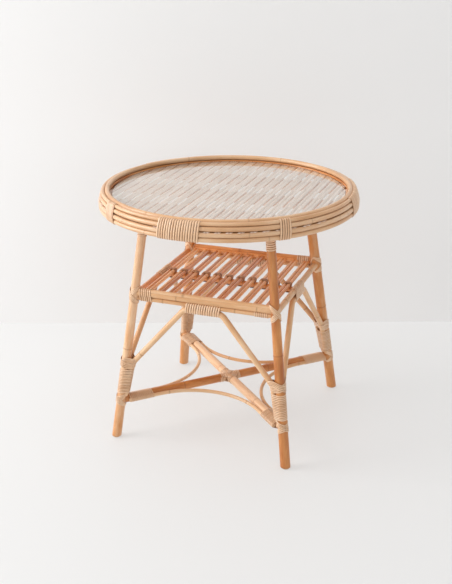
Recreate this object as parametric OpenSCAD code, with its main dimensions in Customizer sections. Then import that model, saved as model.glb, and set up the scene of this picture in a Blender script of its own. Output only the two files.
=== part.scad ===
// Round rattan side table with a glass inlay, a slatted lower shelf,
// four arch braces and a diagonal cross stretcher with bent canes.
// Units are millimetres, Z is up. The origin is on the floor, in the
// middle of the four feet. X runs to the right, Y runs to the back.

/* [Legs] */
// Half the distance between the middles of two neighbouring feet
foot_half = 207.5; // [202:0.5:212]
// Inward lean of a leg along X and along Y, per millimetre of height
leg_lean = 0.12; // [0.115:0.001:0.125]
// Diameter of the two front leg poles
leg_d = 21; // [20:0.5:22]
// Diameter of the two back leg poles
back_leg_d = 24.5; // [23:0.5:25.5]
// Diameter of the pale glide under each leg
glide_d = 17; // [15:0.5:18]
// Thickness of a glide
glide_t = 3; // [2.4:0.2:4]

/* [Table top] */
// Height of the middle of the top bead cane
bead_z = 572.4; // [566.4:1:578.4]
// Radius of the top bead, to the middle of its cane
bead_ring_r = 272.6; // [270.1:0.5:275.6]
// Diameter of the top bead cane
bead_d = 11; // [10:0.2:11.2]
// Diameter of the bent core pole that carries the rim
core_d = 20; // [19:0.2:20.4]
// Diameter of the hidden packing cane under the bead
packing_d = 7; // [6:0.2:7.4]
// Diameters of the four rim hoops, from the top hoop down
hoop_d = [8.8, 10.4, 10.4, 10];
// Diameter of the glass disc
glass_d = 526; // [520:1:528]
// Thickness of the glass disc
glass_t = 5; // [4:0.5:5.5]

/* [Deck under the glass] */
// Diameter of the three poles that cross under the deck
deck_pole_d = 26; // [24:0.5:27]
// Distance of the front and back deck poles from the middle
deck_pole_y = 141; // [139:0.5:143]
// Spacing of the pairs of split canes
strip_pitch = 22; // [21.6:0.1:22.2]
// Number of pairs of split canes
strip_pairs = 24; // [22:2:24]
// Width of one split cane
strip_w = 8.2; // [7.6:0.1:8.4]
// Thickness of one split cane at its crown
strip_t = 2.6; // [2.2:0.1:2.7]

/* [Shelf] */
// Height of the axis of the front and back shelf rails
rail_z = 354; // [350:1:358]
// Diameter of the front and back shelf rails
rail_d = 15; // [14:0.5:15.5]
// Diameter of the cane under the front and back rails
under_cane_d = 10; // [9:0.2:10.4]
// Width and thickness of the half round cover cane on the rails
cover_size = [12, 4];
// Diameter of the left and right shelf rails
side_rail_d = 14; // [13:0.5:14.5]
// Height of the axis of the left and right shelf rails
side_rail_z = 347.5; // [345:0.5:350]
// Diameter of the bar that carries the slats at mid length
mid_bar_d = 13; // [12:0.5:13.5]
// Number of pairs of slats
slat_pairs = 11; // [9:2:11]
// Spacing of the pairs of slats
slat_pitch = 28.6; // [27:0.2:28.6]
// Diameter of one slat
slat_d = 8.6; // [8:0.1:8.8]
// Height of the slat axes
slat_z = 352.3; // [351.5:0.1:353]

/* [Arch braces] */
// Diameter of a brace cane
brace_d = 13; // [12:0.5:13.5]
// Height of the flat top of an arch
arch_z = 330; // [328:0.5:330]
// Half the length of the flat top, to the corner of the bend
arch_half = 44; // [42:0.5:46]
// Radius of the two upper bends
arch_bend_r = 16; // [14:1:22]
// Height of the lower bends
knee_z = 186; // [182:1:190]
// Distance from the middle to a lower bend
knee_s = 169; // [168:0.5:170]
// Height of the cut ends of a brace
tail_z = 104; // [102:1:112]
// Distance from the middle to a cut end
tail_s = 184.5; // [183:0.5:185.5]

/* [Cross stretcher] */
// Height of the stretcher poles
stretcher_z = 94; // [90:1:96]
// Diameter of the stretcher poles
stretcher_d = 20; // [18:0.5:20.5]
// Diameter of the four bent canes between the stretcher arms
bent_cane_d = 8.4; // [8:0.2:8.8]
// Distance from the middle of the table to the middle of a bent cane
bent_cane_apex = 91; // [84:1:98]

/* [Bindings] */
// Thickness of the flat cane strip used for every binding
strip_bind_t = 1.3; // [1:0.1:1.4]
// Middle angle and width in degrees of each rim binding
rim_binding_at = [[13, 34], [100, 5], [146, 18], [230, 7], [269, 18.2], [313, 5]];
// Diameter of the shank of a nail
nail_d = 2.4; // [2:0.1:2.6]

/* [Hidden] */
$fn = 64;

gap = 0.05;
// diameter of the leg on the front (-1) or back (1) side
function leg_dia(sy) = sy < 0 ? leg_d : back_leg_d;
lean_a = atan(leg_lean);
plane_k = 1 / cos(lean_a);
bt = strip_bind_t;

// rim profile: middle of each cane as [radius, height]
core_r = bead_ring_r;
core_z = bead_z - 25.9;
hoop_at = [[bead_ring_r + 9.8, bead_z - 2.3], [bead_ring_r + 12.6, bead_z - 11.8],
           [bead_ring_r + 15.4, bead_z - 23.4], [bead_ring_r + 15.4, bead_z - 33.9]];
deck_z = core_z + core_d / 2;
packing_at = [bead_ring_r - 0.5, deck_z + strip_t + packing_d / 2 + gap];
deck_pole_z = deck_z - deck_pole_d / 2;
glass_z = deck_z + strip_t + 0.4;
leg_top_z = deck_pole_z - deck_pole_d / 2 + 2;

// half distance between leg axes at a height
function leg_s(z) = foot_half - leg_lean * z;
under_z = rail_z - rail_d / 2 - under_cane_d / 2 - gap;
mid_bar_z = slat_z - slat_d / 2 - mid_bar_d / 2 - 0.3;
rail_y = leg_s(rail_z);
side_x = leg_s(side_rail_z);

// bent canes: tangent to two neighbouring stretcher arms
cane_off = stretcher_d / 2 + bent_cane_d / 2 + gap;
cane_r = (bent_cane_apex - cane_off * sqrt(2)) / (sqrt(2) - 1);
arm_end = leg_s(stretcher_z) * sqrt(2) - max(leg_d, back_leg_d) / 2 - 2.8;

corners = [[-1, -1], [1, -1], [1, 1], [-1, 1]];

// ---------- helpers ----------
// straight round rod between two points
module rod(p, q, d) {
  v = q - p;
  l = norm(v);
  translate(p) rotate([0, acos(v[2] / l), atan2(v[1], v[0])]) cylinder(h = l, d = d);
}

// cylinder on the axis of a leg between two heights
module leg_axis(sx, sy, z0, z1, d) {
  rod([sx * leg_s(z0), sy * leg_s(z0), z0], [sx * leg_s(z1), sy * leg_s(z1), z1], d);
}

// slab that cuts out a band of heights on one leg
module leg_band(sx, sy, z0, z1, w = 90) {
  zc = (z0 + z1) / 2;
  translate([sx * leg_s(zc), sy * leg_s(zc), zc]) cube([w, w, z1 - z0], center = true);
}

function unit2(v) = v / norm(v);
function turn2(a, b, c) = let (u = b - a, v = c - b) atan2(u[0] * v[1] - u[1] * v[0], u * v);

// torus arc that rounds corner b of a flat path a, b, c; a bend is a
// little fuller than the straight runs that reach into it
module bend(a, b, c, r, d) {
  t = turn2(a, b, c);
  s = sign(t);
  u = unit2(b - a);
  e = b - u * r * tan(abs(t) / 2);
  m = e + [-u[1], u[0]] * r * s;
  w = atan2(e[1] - m[1], e[0] - m[0]);
  translate([m[0], m[1], 0]) rotate([0, 0, s > 0 ? w : w + t])
    rotate_extrude(angle = abs(t)) translate([r, 0]) circle(d = d + 0.3);
}

// flat bent rod: straight runs with rounded corners
module bent_rod(p, r, d) {
  n = len(p);
  cut = [for (i = [0:n - 1]) (i == 0 || i == n - 1) ? 0 : r[i] * tan(abs(turn2(p[i - 1], p[i], p[i + 1])) / 2) - 1];
  for (i = [0:n - 2]) {
    u = unit2(p[i + 1] - p[i]);
    a = p[i] + u * cut[i];
    b = p[i + 1] - u * cut[i + 1];
    rod([a[0], a[1], 0], [b[0], b[1], 0], d);
  }
  for (i = [1:n - 2]) bend(p[i - 1], p[i], p[i + 1], r[i], d);
}

// places a child drawn in a leg plane on one side of the table
module on_side(turn) {
  rotate([0, 0, turn]) translate([0, -foot_half, 0]) rotate([90 - lean_a, 0, 0]) children();
}

// ---------- nails ----------
// a nail from its head to its point
module nail(p, q) {
  u = (q - p) / norm(q - p);
  rod(p, q, nail_d);
  rod(p - u * 1.2, p + u * 0, nail_d * 2);
}
module nail_bore(p, q) { rod(p - (q - p) / norm(q - p) * 2, q + (q - p) / norm(q - p) * 0.4, nail_d + 0.1); }

// nails through a leg into the end of the front or back rail and of the side rail
function rail_nail(sx, sy) = let (r = leg_dia(sy) / 2) [[sx * (rail_y + r - 1.8), sy * rail_y, rail_z], [sx * (rail_y - r - 16), sy * rail_y, rail_z]];
function side_nail(sx, sy) = let (r = leg_dia(sy) / 2) [[sx * side_x, sy * (side_x + r - 1.8), side_rail_z], [sx * side_x, sy * (side_x - r - 16), side_rail_z]];
// nails down through a deck pole into the top of a leg
function deck_nail(sx, sy) = [[sx * (leg_s(deck_pole_z) + 1), sy * deck_pole_y, deck_pole_z + deck_pole_d / 2 - 2.4], [sx * (leg_s(leg_top_z - 22) + 1), sy * (deck_pole_y + 2.5), leg_top_z - 22]];

// sunk seat for the head of a nail
module nail_seat(p, q) { u = (q - p) / norm(q - p); rod(p + u * 0.1, p - u * 12, nail_d * 2 + 0.3); }

module all_nail_bores(sx, sy) {
  nail_seat(rail_nail(sx, sy)[0], rail_nail(sx, sy)[1]);
  nail_seat(side_nail(sx, sy)[0], side_nail(sx, sy)[1]);
  nail_bore(rail_nail(sx, sy)[0], rail_nail(sx, sy)[1]);
  nail_bore(side_nail(sx, sy)[0], side_nail(sx, sy)[1]);
  nail_bore(deck_nail(sx, sy)[0], deck_nail(sx, sy)[1]);
}

// ---------- legs ----------
module leg(sx, sy) {
  color("#d9a066")
  difference() {
    leg_axis(sx, sy, -12, leg_top_z + 10, leg_dia(sy));
    translate([sx * foot_half, sy * foot_half, glide_t + gap - 20]) cube([60, 60, 40], center = true);
    translate([sx * foot_half, sy * foot_half, 0]) cylinder(h = glide_t + 12.2, d = nail_d + 0.1);
    translate([sx * leg_s(leg_top_z), sy * leg_s(leg_top_z), leg_top_z + 20]) cube([60, 60, 40], center = true);
    deck_pole_solid(sy * deck_pole_y, gap);
    all_nail_bores(sx, sy);
  }
}
module leg_front_left() { leg(-1, -1); }
module leg_front_right() { leg(1, -1); }
module leg_back_left() { leg(-1, 1); }
module leg_back_right() { leg(1, 1); }

// ---------- glides ----------
// turned disc with a bevelled lower edge and a pin that is driven up into the leg
module foot_glide(sx, sy) {
  color("#e9e2d6")
  translate([sx * foot_half, sy * foot_half, 0]) rotate_extrude()
    polygon([[0, 0], [glide_d / 2 - 0.8, 0], [glide_d / 2, 0.8], [glide_d / 2, glide_t], [nail_d / 2, glide_t], [nail_d / 2, glide_t + 12], [0, glide_t + 12]]);
}
module foot_glide_front_left() { foot_glide(-1, -1); }
module foot_glide_front_right() { foot_glide(1, -1); }
module foot_glide_back_left() { foot_glide(-1, 1); }
module foot_glide_back_right() { foot_glide(1, 1); }

// ---------- rim ----------
module ring(r, z, d) { translate([0, 0, z]) rotate_extrude() translate([r, 0]) circle(d = d); }
module rim_core_ring() { color("#cf9a62") ring(core_r, core_z, core_d); }
module rim_packing_ring() { color("#d8ab74") ring(packing_at[0], packing_at[1], packing_d); }
module rim_bead() { color("#e0b07a") ring(bead_ring_r, bead_z, bead_d); }
module rim_hoop_1() { color("#e3b684") ring(hoop_at[0][0], hoop_at[0][1], hoop_d[0]); }
module rim_hoop_2() { color("#dfae78") ring(hoop_at[1][0], hoop_at[1][1], hoop_d[1]); }
module rim_hoop_3() { color("#e3b684") ring(hoop_at[2][0], hoop_at[2][1], hoop_d[2]); }
module rim_hoop_4() { color("#dca974") ring(hoop_at[3][0], hoop_at[3][1], hoop_d[3]); }

// ---------- deck ----------
module deck_pole_solid(y, g = 0) {
  h = sqrt(core_r * core_r - y * y);
  translate([-h, y, deck_pole_z]) rotate([0, 90, 0]) cylinder(h = 2 * h, d = deck_pole_d + 2 * g);
}
module deck_pole(y) {
  color("#c98f55")
  difference() {
    deck_pole_solid(y);
    ring(core_r, core_z, core_d + 2 * gap);
    if (y != 0) for (sx = [-1, 1]) {
      nail_bore(deck_nail(sx, sign(y))[0], deck_nail(sx, sign(y))[1]);
      // sunk seat for the nail head
      rod(deck_nail(sx, sign(y))[0] - [0, 0, 1.4], deck_nail(sx, sign(y))[0] + [0, 0, 4], nail_d * 2 + 0.6);
    }
  }
}
module deck_pole_front() { deck_pole(-deck_pole_y); }
module deck_pole_middle() { deck_pole(0); }
module deck_pole_back() { deck_pole(deck_pole_y); }

// half round profile lying on its flat side
module half_round(w, t) {
  r = (w * w / 4 + t * t) / (2 * t);
  intersection() {
    translate([0, t - r]) circle(r = r);
    translate([-w / 2, 0]) square([w, t + 1]);
  }
}
module deck_split_canes() {
  color("#dcc3a2")
  for (i = [0:strip_pairs - 1]) for (s = [-1, 1]) {
    x = (i - (strip_pairs - 1) / 2) * strip_pitch + s * (strip_w / 2 + 0.2);
    l = sqrt(pow(core_r + 6, 2) - pow(abs(x) + strip_w / 2, 2));
    translate([x, l, deck_z + gap / 2]) rotate([90, 0, 0]) linear_extrude(2 * l) half_round(strip_w, strip_t);
  }
}
module glass_top() {
  color([0.85, 0.93, 0.9, 0.45])
  translate([0, 0, glass_z]) rotate_extrude() polygon([[0, 0], [glass_d / 2 - 0.8, 0], [glass_d / 2, 0.8],
    [glass_d / 2, glass_t - 1], [glass_d / 2 - 1, glass_t], [0, glass_t]]);
}

// ---------- shelf ----------
module rail_solid(y, z, d) { rod([-rail_y, y, z], [rail_y, y, z], d); }
module side_solid(x, z, d) { rod([x, -side_x, z], [x, side_x, z], d); }
module legs_cut(z0, z1) { for (c = corners) leg_axis(c[0], c[1], z0, z1, leg_dia(c[1]) + 2 * gap); }

module shelf_rail(sy) {
  color("#dfae78")
  difference() {
    rail_solid(sy * rail_y, rail_z, rail_d);
    legs_cut(rail_z - 30, rail_z + 30);
    for (sx = [-1, 1]) nail_bore(rail_nail(sx, sy)[0], rail_nail(sx, sy)[1]);
  }
}
module shelf_rail_front() { shelf_rail(-1); }
module shelf_rail_back() { shelf_rail(1); }

module side_rail(sx) {
  color("#cf935a")
  difference() {
    side_solid(sx * side_x, side_rail_z, side_rail_d);
    legs_cut(side_rail_z - 30, side_rail_z + 30);
    for (sy = [-1, 1]) nail_bore(side_nail(sx, sy)[0], side_nail(sx, sy)[1]);
  }
}
module shelf_rail_left() { side_rail(-1); }
module shelf_rail_right() { side_rail(1); }

module under_cane(sy) {
  color("#dba36b")
  difference() {
    rail_solid(sy * rail_y, under_z, under_cane_d);
    legs_cut(under_z - 30, under_z + 30);
  }
}
module shelf_under_cane_front() { under_cane(-1); }
module shelf_under_cane_back() { under_cane(1); }

module cover_cane(sy) {
  color("#e6bb8b")
  difference() {
    translate([-rail_y, sy * rail_y, rail_z + rail_d / 2 - 2.4]) rotate([90, 0, 90])
      linear_extrude(2 * rail_y) half_round(cover_size[0], cover_size[1] + 2.4);
    rail_solid(sy * rail_y, rail_z, rail_d + 2 * gap);
    legs_cut(rail_z - 20, rail_z + 30);
  }
}
module shelf_cover_front() { cover_cane(-1); }
module shelf_cover_back() { cover_cane(1); }

module shelf_middle_bar() {
  color("#a9683c")
  difference() {
    rod([-side_x, 0, mid_bar_z], [side_x, 0, mid_bar_z], mid_bar_d);
    for (sx = [-1, 1]) side_solid(sx * side_x, side_rail_z, side_rail_d + 2 * gap);
    for (sx = [-1, 1]) translate([sx * side_x, 0, mid_bar_z]) cube([side_rail_d, 40, 60], center = true);
  }
}

function slat_x(i, s) = (i - (slat_pairs - 1) / 2) * slat_pitch + s * (slat_d / 2 + gap);
module slats_solid(g = 0) {
  for (i = [0:slat_pairs - 1]) for (s = [-1, 1])
    rod([slat_x(i, s), -rail_y, slat_z], [slat_x(i, s), rail_y, slat_z], slat_d + 2 * g);
}
module shelf_slats() {
  color("#b0703f")
  difference() {
    slats_solid();
    for (sy = [-1, 1]) rail_solid(sy * rail_y, rail_z, rail_d + 2 * gap);
    for (sy = [-1, 1]) translate([0, sy * (rail_y + 5), slat_z]) cube([400, 10 , 40], center = true);
  }
}

// ---------- arch braces ----------
tail_p = [tail_s, tail_z * plane_k];
knee_p = [knee_s, knee_z * plane_k];
top_p = [arch_half, arch_z * plane_k];
slope_u = (top_p - knee_p) / norm(top_p - knee_p);
function flat2(p, s) = [s * p[0], p[1]];
function flat3(p, s) = [s * p[0], p[1], 0];

// lower part of a brace on one leg: cut tail, knee and start of the slope
module brace_foot(s, d, rise = 0) {
  u = (knee_p - tail_p) / norm(knee_p - tail_p);
  rod(flat3(tail_p, s), flat3(knee_p + u * 3, s), d - 0.4);
  if (rise > 0) rod(flat3(knee_p, s), flat3(knee_p * (1 - rise) + top_p * rise, s), d);
}
// diameter of the leg at the right (0) or left (1) end of a brace
function end_dia(turn, s) = leg_dia(turn == 0 ? -1 : turn == 180 ? 1 : (turn == 90 ? 1 : -1) * (s == 0 ? 1 : -1));
module arch_brace(turn) {
  color("#e2b27c")
  difference() {
    on_side(turn) {
      bent_rod([flat2(knee_p - slope_u * 3, -1), flat2(top_p, -1), top_p, knee_p - slope_u * 3], [0, arch_bend_r, arch_bend_r, 0], brace_d);
      for (s = [-1, 1]) brace_foot(s, brace_d);
    }
    // long flat scarf cut where each end lies against its leg
    on_side(turn) for (s = [0, 1]) mirror([s, 0, 0])
      translate([leg_s(knee_z), knee_p[1]]) rotate([0, 0, atan(leg_lean / plane_k)])
        translate([-end_dia(turn, s) / 2 - gap, -120, -20]) cube([60, 180, 40]);
  }
}
module arch_brace_front() { arch_brace(0); }
module arch_brace_right() { arch_brace(90); }
module arch_brace_back() { arch_brace(180); }
module arch_brace_left() { arch_brace(270); }

// ---------- cross stretcher ----------
module arm_solid(turn, d) {
  rotate([0, 0, turn]) rod([-leg_s(stretcher_z) * sqrt(2), 0, stretcher_z], [leg_s(stretcher_z) * sqrt(2), 0, stretcher_z], d);
}
module stretcher_pole(turn, up) {
  color("#b9743c")
  difference() {
    arm_solid(turn, stretcher_d);
    legs_cut(stretcher_z - 30, stretcher_z + 30);
    // half lap where the two poles cross
    rotate([0, 0, turn]) translate([0, 0, stretcher_z + up * 15]) cube([stretcher_d + 0.2, stretcher_d + 2, 30], center = true);
    cylinder(h = 200, d = nail_d + 1.1);
  }
}
// front left to back right
module stretcher_pole_a() { stretcher_pole(45, -1); }
// front right to back left
module stretcher_pole_b() { stretcher_pole(135, 1); }

module bent_cane_solid(turn, d) {
  // flat path in a plane: straight run along one arm, quarter bend, run along the next arm
  q = sqrt(0.5);
  a = [arm_end * q + cane_off * q, -(arm_end * q - cane_off * q)];
  b = [cane_off * sqrt(2), 0];
  c = [a[0], -a[1]];
  rotate([0, 0, turn]) translate([0, 0, stretcher_z]) bent_rod([a, b, c], [0, cane_r, 0], d);
}
module bent_cane(turn) { color("#e0b384") bent_cane_solid(turn, bent_cane_d); }
module bent_cane_right() { bent_cane(0); }
module bent_cane_back() { bent_cane(90); }
module bent_cane_left() { bent_cane(180); }
module bent_cane_front() { bent_cane(270); }

// ---------- bindings ----------
// points of an arc, a little outside it so that the chords never cut it
function arc_pts(c, r, a0, a1, n) = let (k = r / cos((a1 - a0) / n / 2)) [for (i = [0:n]) let (a = a0 + (a1 - a0) * i / n) [c[0] + k * cos(a), c[1] + k * sin(a)]];
// direction in which a taut strip lies against two neighbouring canes
function taut(a, ra, b, rb) = let (d = b - a) atan2(d[1], d[0]) + acos((ra - rb) / norm(d));
// outline round the hoops and the core, seen in section; g is the distance from the canes
taut_12 = taut(hoop_at[0], hoop_d[0] / 2, hoop_at[1], hoop_d[1] / 2);
taut_23 = taut(hoop_at[1], hoop_d[1] / 2, hoop_at[2], hoop_d[2] / 2);
taut_34 = taut(hoop_at[2], hoop_d[2] / 2, hoop_at[3], hoop_d[3] / 2);
taut_4c = taut(hoop_at[3], hoop_d[3] / 2, [core_r, core_z], core_d / 2) - 360;
function rim_outline(g) = concat(
  arc_pts(hoop_at[0], hoop_d[0] / 2 + g, 150, taut_12, 8),
  arc_pts(hoop_at[1], hoop_d[1] / 2 + g, taut_12, taut_23, 1),
  arc_pts(hoop_at[2], hoop_d[2] / 2 + g, taut_23, taut_34, 1),
  arc_pts(hoop_at[3], hoop_d[3] / 2 + g, taut_34, taut_4c, 6),
  arc_pts([core_r, core_z], core_d / 2 + g, taut_4c, -200, 8));
module rim_bindings() {
  color("#e0b48c")
  difference() {
    for (b = rim_binding_at)
      rotate([0, 0, b[0] - b[1] / 2]) rotate_extrude(angle = b[1]) polygon(concat(rim_outline(bt + 0.1), [for (i = [len(rim_outline(0)) - 1:-1:0]) rim_outline(0.1)[i]]));
    for (y = [-deck_pole_y, 0, deck_pole_y]) deck_pole_solid(y, gap);
    ring(bead_ring_r, bead_z, bead_d + 0.1);
  }
}

module leg_top_bindings() {
  color("#d9a679")
  for (c = corners) difference() {
    intersection() {
      leg_axis(c[0], c[1], 470, 540, leg_dia(c[1]) + 2 * bt);
      leg_band(c[0], c[1], 483, leg_top_z - 4);
    }
    leg_axis(c[0], c[1], 460, 550, leg_dia(c[1]) + 2 * gap);
    deck_pole_solid(c[1] * deck_pole_y, gap);
  }
}

// everything that meets a leg at shelf height
module shelf_members(g) {
  for (sy = [-1, 1]) {
    rail_solid(sy * rail_y, rail_z, rail_d + 2 * g);
    rail_solid(sy * rail_y, under_z, under_cane_d + 2 * g);
    translate([-rail_y, sy * rail_y, rail_z + rail_d / 2 - 2.4 - g]) rotate([90, 0, 90])
      linear_extrude(2 * rail_y) half_round(cover_size[0] + 2 * g, cover_size[1] + 2.4 + 2 * g);
  }
  for (sx = [-1, 1]) side_solid(sx * side_x, side_rail_z, side_rail_d + 2 * g);
}
module shelf_corner_bindings() {
  color("#dfb187")
  for (c = corners) difference() {
    intersection() {
      leg_axis(c[0], c[1], 320, 380, leg_dia(c[1]) + 2 * bt + 0.6);
      leg_band(c[0], c[1], 331, 369);
    }
    leg_axis(c[0], c[1], 310, 390, leg_dia(c[1]) + 2 * gap);
    shelf_members(gap);
  }
}

// sleeve round two stacked canes of a front or back rail
module rail_sleeve(sy, x0, x1, z1, d1, z2, d2) {
  difference() {
    union() {
      rod([x0, sy * rail_y, z1], [x1, sy * rail_y, z1], d1 + 2 * bt);
      if (d2 > 0) {
        rod([x0, sy * rail_y, z2], [x1, sy * rail_y, z2], d2 + 2 * bt);
        translate([(x0 + x1) / 2, sy * rail_y, (z1 + z2) / 2]) cube([x1 - x0, min(d1, d2) + 2 * bt - 1.4, abs(z1 - z2)], center = true);
      }
    }
    rod([x0 - 1, sy * rail_y, z1], [x1 + 1, sy * rail_y, z1], d1 + 2 * gap);
    if (d2 > 0) {
      rod([x0 - 1, sy * rail_y, z2], [x1 + 1, sy * rail_y, z2], d2 + 2 * gap);
      translate([(x0 + x1) / 2, sy * rail_y, (z1 + z2) / 2]) cube([x1 - x0 + 2, 4, abs(z1 - z2)], center = true);
    }
    children();
  }
}
module rail_end_bindings() {
  color("#e0b58d") {
    rail_sleeve(-1, -151, -119, rail_z, rail_d, under_z, under_cane_d) shelf_extra();
    rail_sleeve(-1, 119, 151, under_z, under_cane_d, 0, 0) shelf_extra();
    rail_sleeve(1, -151, -119, under_z, under_cane_d, 0, 0) shelf_extra();
    rail_sleeve(1, 119, 151, rail_z, rail_d, under_z, under_cane_d) shelf_extra();
  }
}
// parts that a rail sleeve must leave free
module shelf_extra() {
  for (sy = [-1, 1]) {
    // slot where the slat ends come in, and the way of the cover cane
    translate([0, sy * (rail_y - 10), slat_z]) cube([2 * rail_y, 20, slat_d + 0.6], center = true);
    translate([0, sy * rail_y, rail_z + rail_d / 2 + 5]) cube([2 * rail_y, cover_size[0] + 0.2, 15], center = true);
    rail_solid(sy * rail_y, rail_z, rail_d + 2 * gap);
  }
}

module slat_lashings() {
  color("#8f5a34")
  for (i = [0:slat_pairs - 1]) {
    xc = (slat_x(i, -1) + slat_x(i, 1)) / 2;
    difference() {
      union() {
        translate([xc, 0, slat_z]) cube([slat_d - 1, 12, slat_d + 2 * bt - 1.2], center = true);
        for (s = [-1, 1]) rod([slat_x(i, s), -6, slat_z], [slat_x(i, s), 6, slat_z], slat_d + 2 * bt);
        rod([xc - 6, 0, mid_bar_z], [xc + 6, 0, mid_bar_z], mid_bar_d + 2 * bt);
      }
      for (s = [-1, 1]) rod([slat_x(i, s), -20, slat_z], [slat_x(i, s), 20, slat_z], slat_d + 2 * gap);
      // joins the two bores, which would only touch
      translate([xc, 0, slat_z]) cube([3, 40, 3], center = true);
      rod([xc - 20, 0, mid_bar_z], [xc + 20, 0, mid_bar_z], mid_bar_d + 2 * gap);
    }
  }
}

module arch_top_bindings() {
  l = arch_half - arch_bend_r * tan(24.5) - 0.6;
  ty = -leg_s(arch_z);
  ls = l - 3;
  color("#e0b58d") {
    // front and back: round the under cane and the top of the arch
    for (t = [0, 180]) rotate([0, 0, t]) difference() {
      union() {
        rod([-l, -rail_y, under_z], [l, -rail_y, under_z], under_cane_d + 2 * bt);
        rod([-l, ty, arch_z], [l, ty, arch_z], brace_d + 2 * bt);
        translate([0, (ty - rail_y) / 2, (under_z + arch_z) / 2 - 0.5]) cube([2 * l, under_cane_d + bt, 9], center = true);
      }
      rod([-60, -rail_y, under_z], [60, -rail_y, under_z], under_cane_d + 2 * gap);
      rod([-60, ty, arch_z], [60, ty, arch_z], brace_d + 2 * gap);
      rod([-60, -rail_y, rail_z], [60, -rail_y, rail_z], rail_d + 2 * gap);
    }
    // left and right: round the side rail and the top of the arch
    for (t = [90, 270]) rotate([0, 0, t]) difference() {
      union() {
        rod([-ls, -side_x, side_rail_z], [ls, -side_x, side_rail_z], side_rail_d + 2 * bt);
        rod([-ls, ty, arch_z], [ls, ty, arch_z], brace_d + 2 * bt);
        translate([0, (ty - side_x) / 2, (side_rail_z + arch_z) / 2]) cube([2 * ls, brace_d, 15], center = true);
      }
      rod([-60, -side_x, side_rail_z], [60, -side_x, side_rail_z], side_rail_d + 2 * gap);
      rod([-60, ty, arch_z], [60, ty, arch_z], brace_d + 2 * gap);
      rod([0, -side_x, mid_bar_z], [0, 0, mid_bar_z], mid_bar_d + 2 * gap);
    }
  }
}

// the two braces that end on one leg, as [side, end]
function leg_sides(c) = [[c[1] < 0 ? 0 : 180, c[1] < 0 ? c[0] : -c[0]], [c[0] > 0 ? 90 : 270, c[0] > 0 ? c[1] : -c[1]]];
module leg_feet(c, d, rise = 0) { for (q = leg_sides(c)) on_side(q[0]) brace_foot(q[1], d, rise); }
module leg_wrappings() {
  color("#e2b890")
  for (c = corners) difference() {
    intersection() {
      union() {
        leg_axis(c[0], c[1], 100, 190, leg_dia(c[1]) + 2 * bt - 0.2);
        leg_feet(c, brace_d + 2 * bt - 0.2);
      }
      leg_band(c[0], c[1], 112, 174, 70);
    }
    leg_axis(c[0], c[1], 95, 195, leg_dia(c[1]) + 2 * gap);
    leg_feet(c, brace_d + 2 * gap);
  }
}
module brace_foot_bindings() {
  color("#dfb187")
  for (c = corners) difference() {
    intersection() {
      leg_axis(c[0], c[1], 160, 220, leg_dia(c[1]) + 2 * bt + 0.8);
      leg_band(c[0], c[1], 174.3, 203);
    }
    leg_axis(c[0], c[1], 150, 230, leg_dia(c[1]) + 2 * gap);
    leg_feet(c, brace_d + 2 * gap, 0.35);
  }
}

module stretcher_corner_bindings() {
  color("#dfb187")
  for (c = corners) difference() {
    intersection() {
      leg_axis(c[0], c[1], 70, 120, leg_dia(c[1]) + 2 * bt + 0.8);
      leg_band(c[0], c[1], 81, 111.7);
    }
    leg_axis(c[0], c[1], 60, 130, leg_dia(c[1]) + 2 * gap);
    leg_feet(c, brace_d + 2 * gap);
    intersection() {
      for (t = [45, 135]) arm_solid(t, stretcher_d + 2 * gap);
      translate([c[0] * leg_s(stretcher_z), c[1] * leg_s(stretcher_z), stretcher_z]) cube([60, 60, 60], center = true);
    }
  }
}

module stretcher_arm_bindings() {
  a0 = 203;
  a1 = arm_end - 1;
  color("#d9a679")
  for (t = [45, 135, 225, 315]) rotate([0, 0, t]) difference() {
    union() {
      rod([a0, 0, stretcher_z], [a1, 0, stretcher_z], stretcher_d + 2 * bt);
      for (s = [-1, 1]) rod([a0, s * cane_off, stretcher_z], [a1, s * cane_off, stretcher_z], bent_cane_d + 2 * bt);
    }
    rod([a0 - 5, 0, stretcher_z], [a1 + 5, 0, stretcher_z], stretcher_d + 2 * gap);
    for (s = [-1, 1]) rod([a0 - 5, s * cane_off, stretcher_z], [a1 + 5, s * cane_off, stretcher_z], bent_cane_d + 2 * gap);
  }
}

module stretcher_cross_lashing() {
  color("#cf9a70")
  difference() {
    for (t = [45, 135]) rotate([0, 0, t]) rod([-27, 0, stretcher_z], [27, 0, stretcher_z], stretcher_d + 2 * bt);
    for (t = [45, 135]) rotate([0, 0, t]) rod([-40, 0, stretcher_z], [40, 0, stretcher_z], stretcher_d + 2 * gap);
    cylinder(h = 200, d = nail_d * 2 + 1.2);
  }
}

// ---------- fasteners ----------
module joint_nails() {
  color("#6b6259")
  for (c = corners) {
    nail(rail_nail(c[0], c[1])[0], rail_nail(c[0], c[1])[1]);
    nail(side_nail(c[0], c[1])[0], side_nail(c[0], c[1])[1]);
    nail(deck_nail(c[0], c[1])[0], deck_nail(c[0], c[1])[1]);
  }
}
module cross_pin() {
  color("#6b6259") {
    translate([0, 0, stretcher_z - stretcher_d / 2 - 0.6]) cylinder(h = stretcher_d + 0.6, d = nail_d + 0.9);
    translate([0, 0, stretcher_z + stretcher_d / 2]) cylinder(h = 1.3, d = nail_d * 2 + 1);
  }
}

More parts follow.
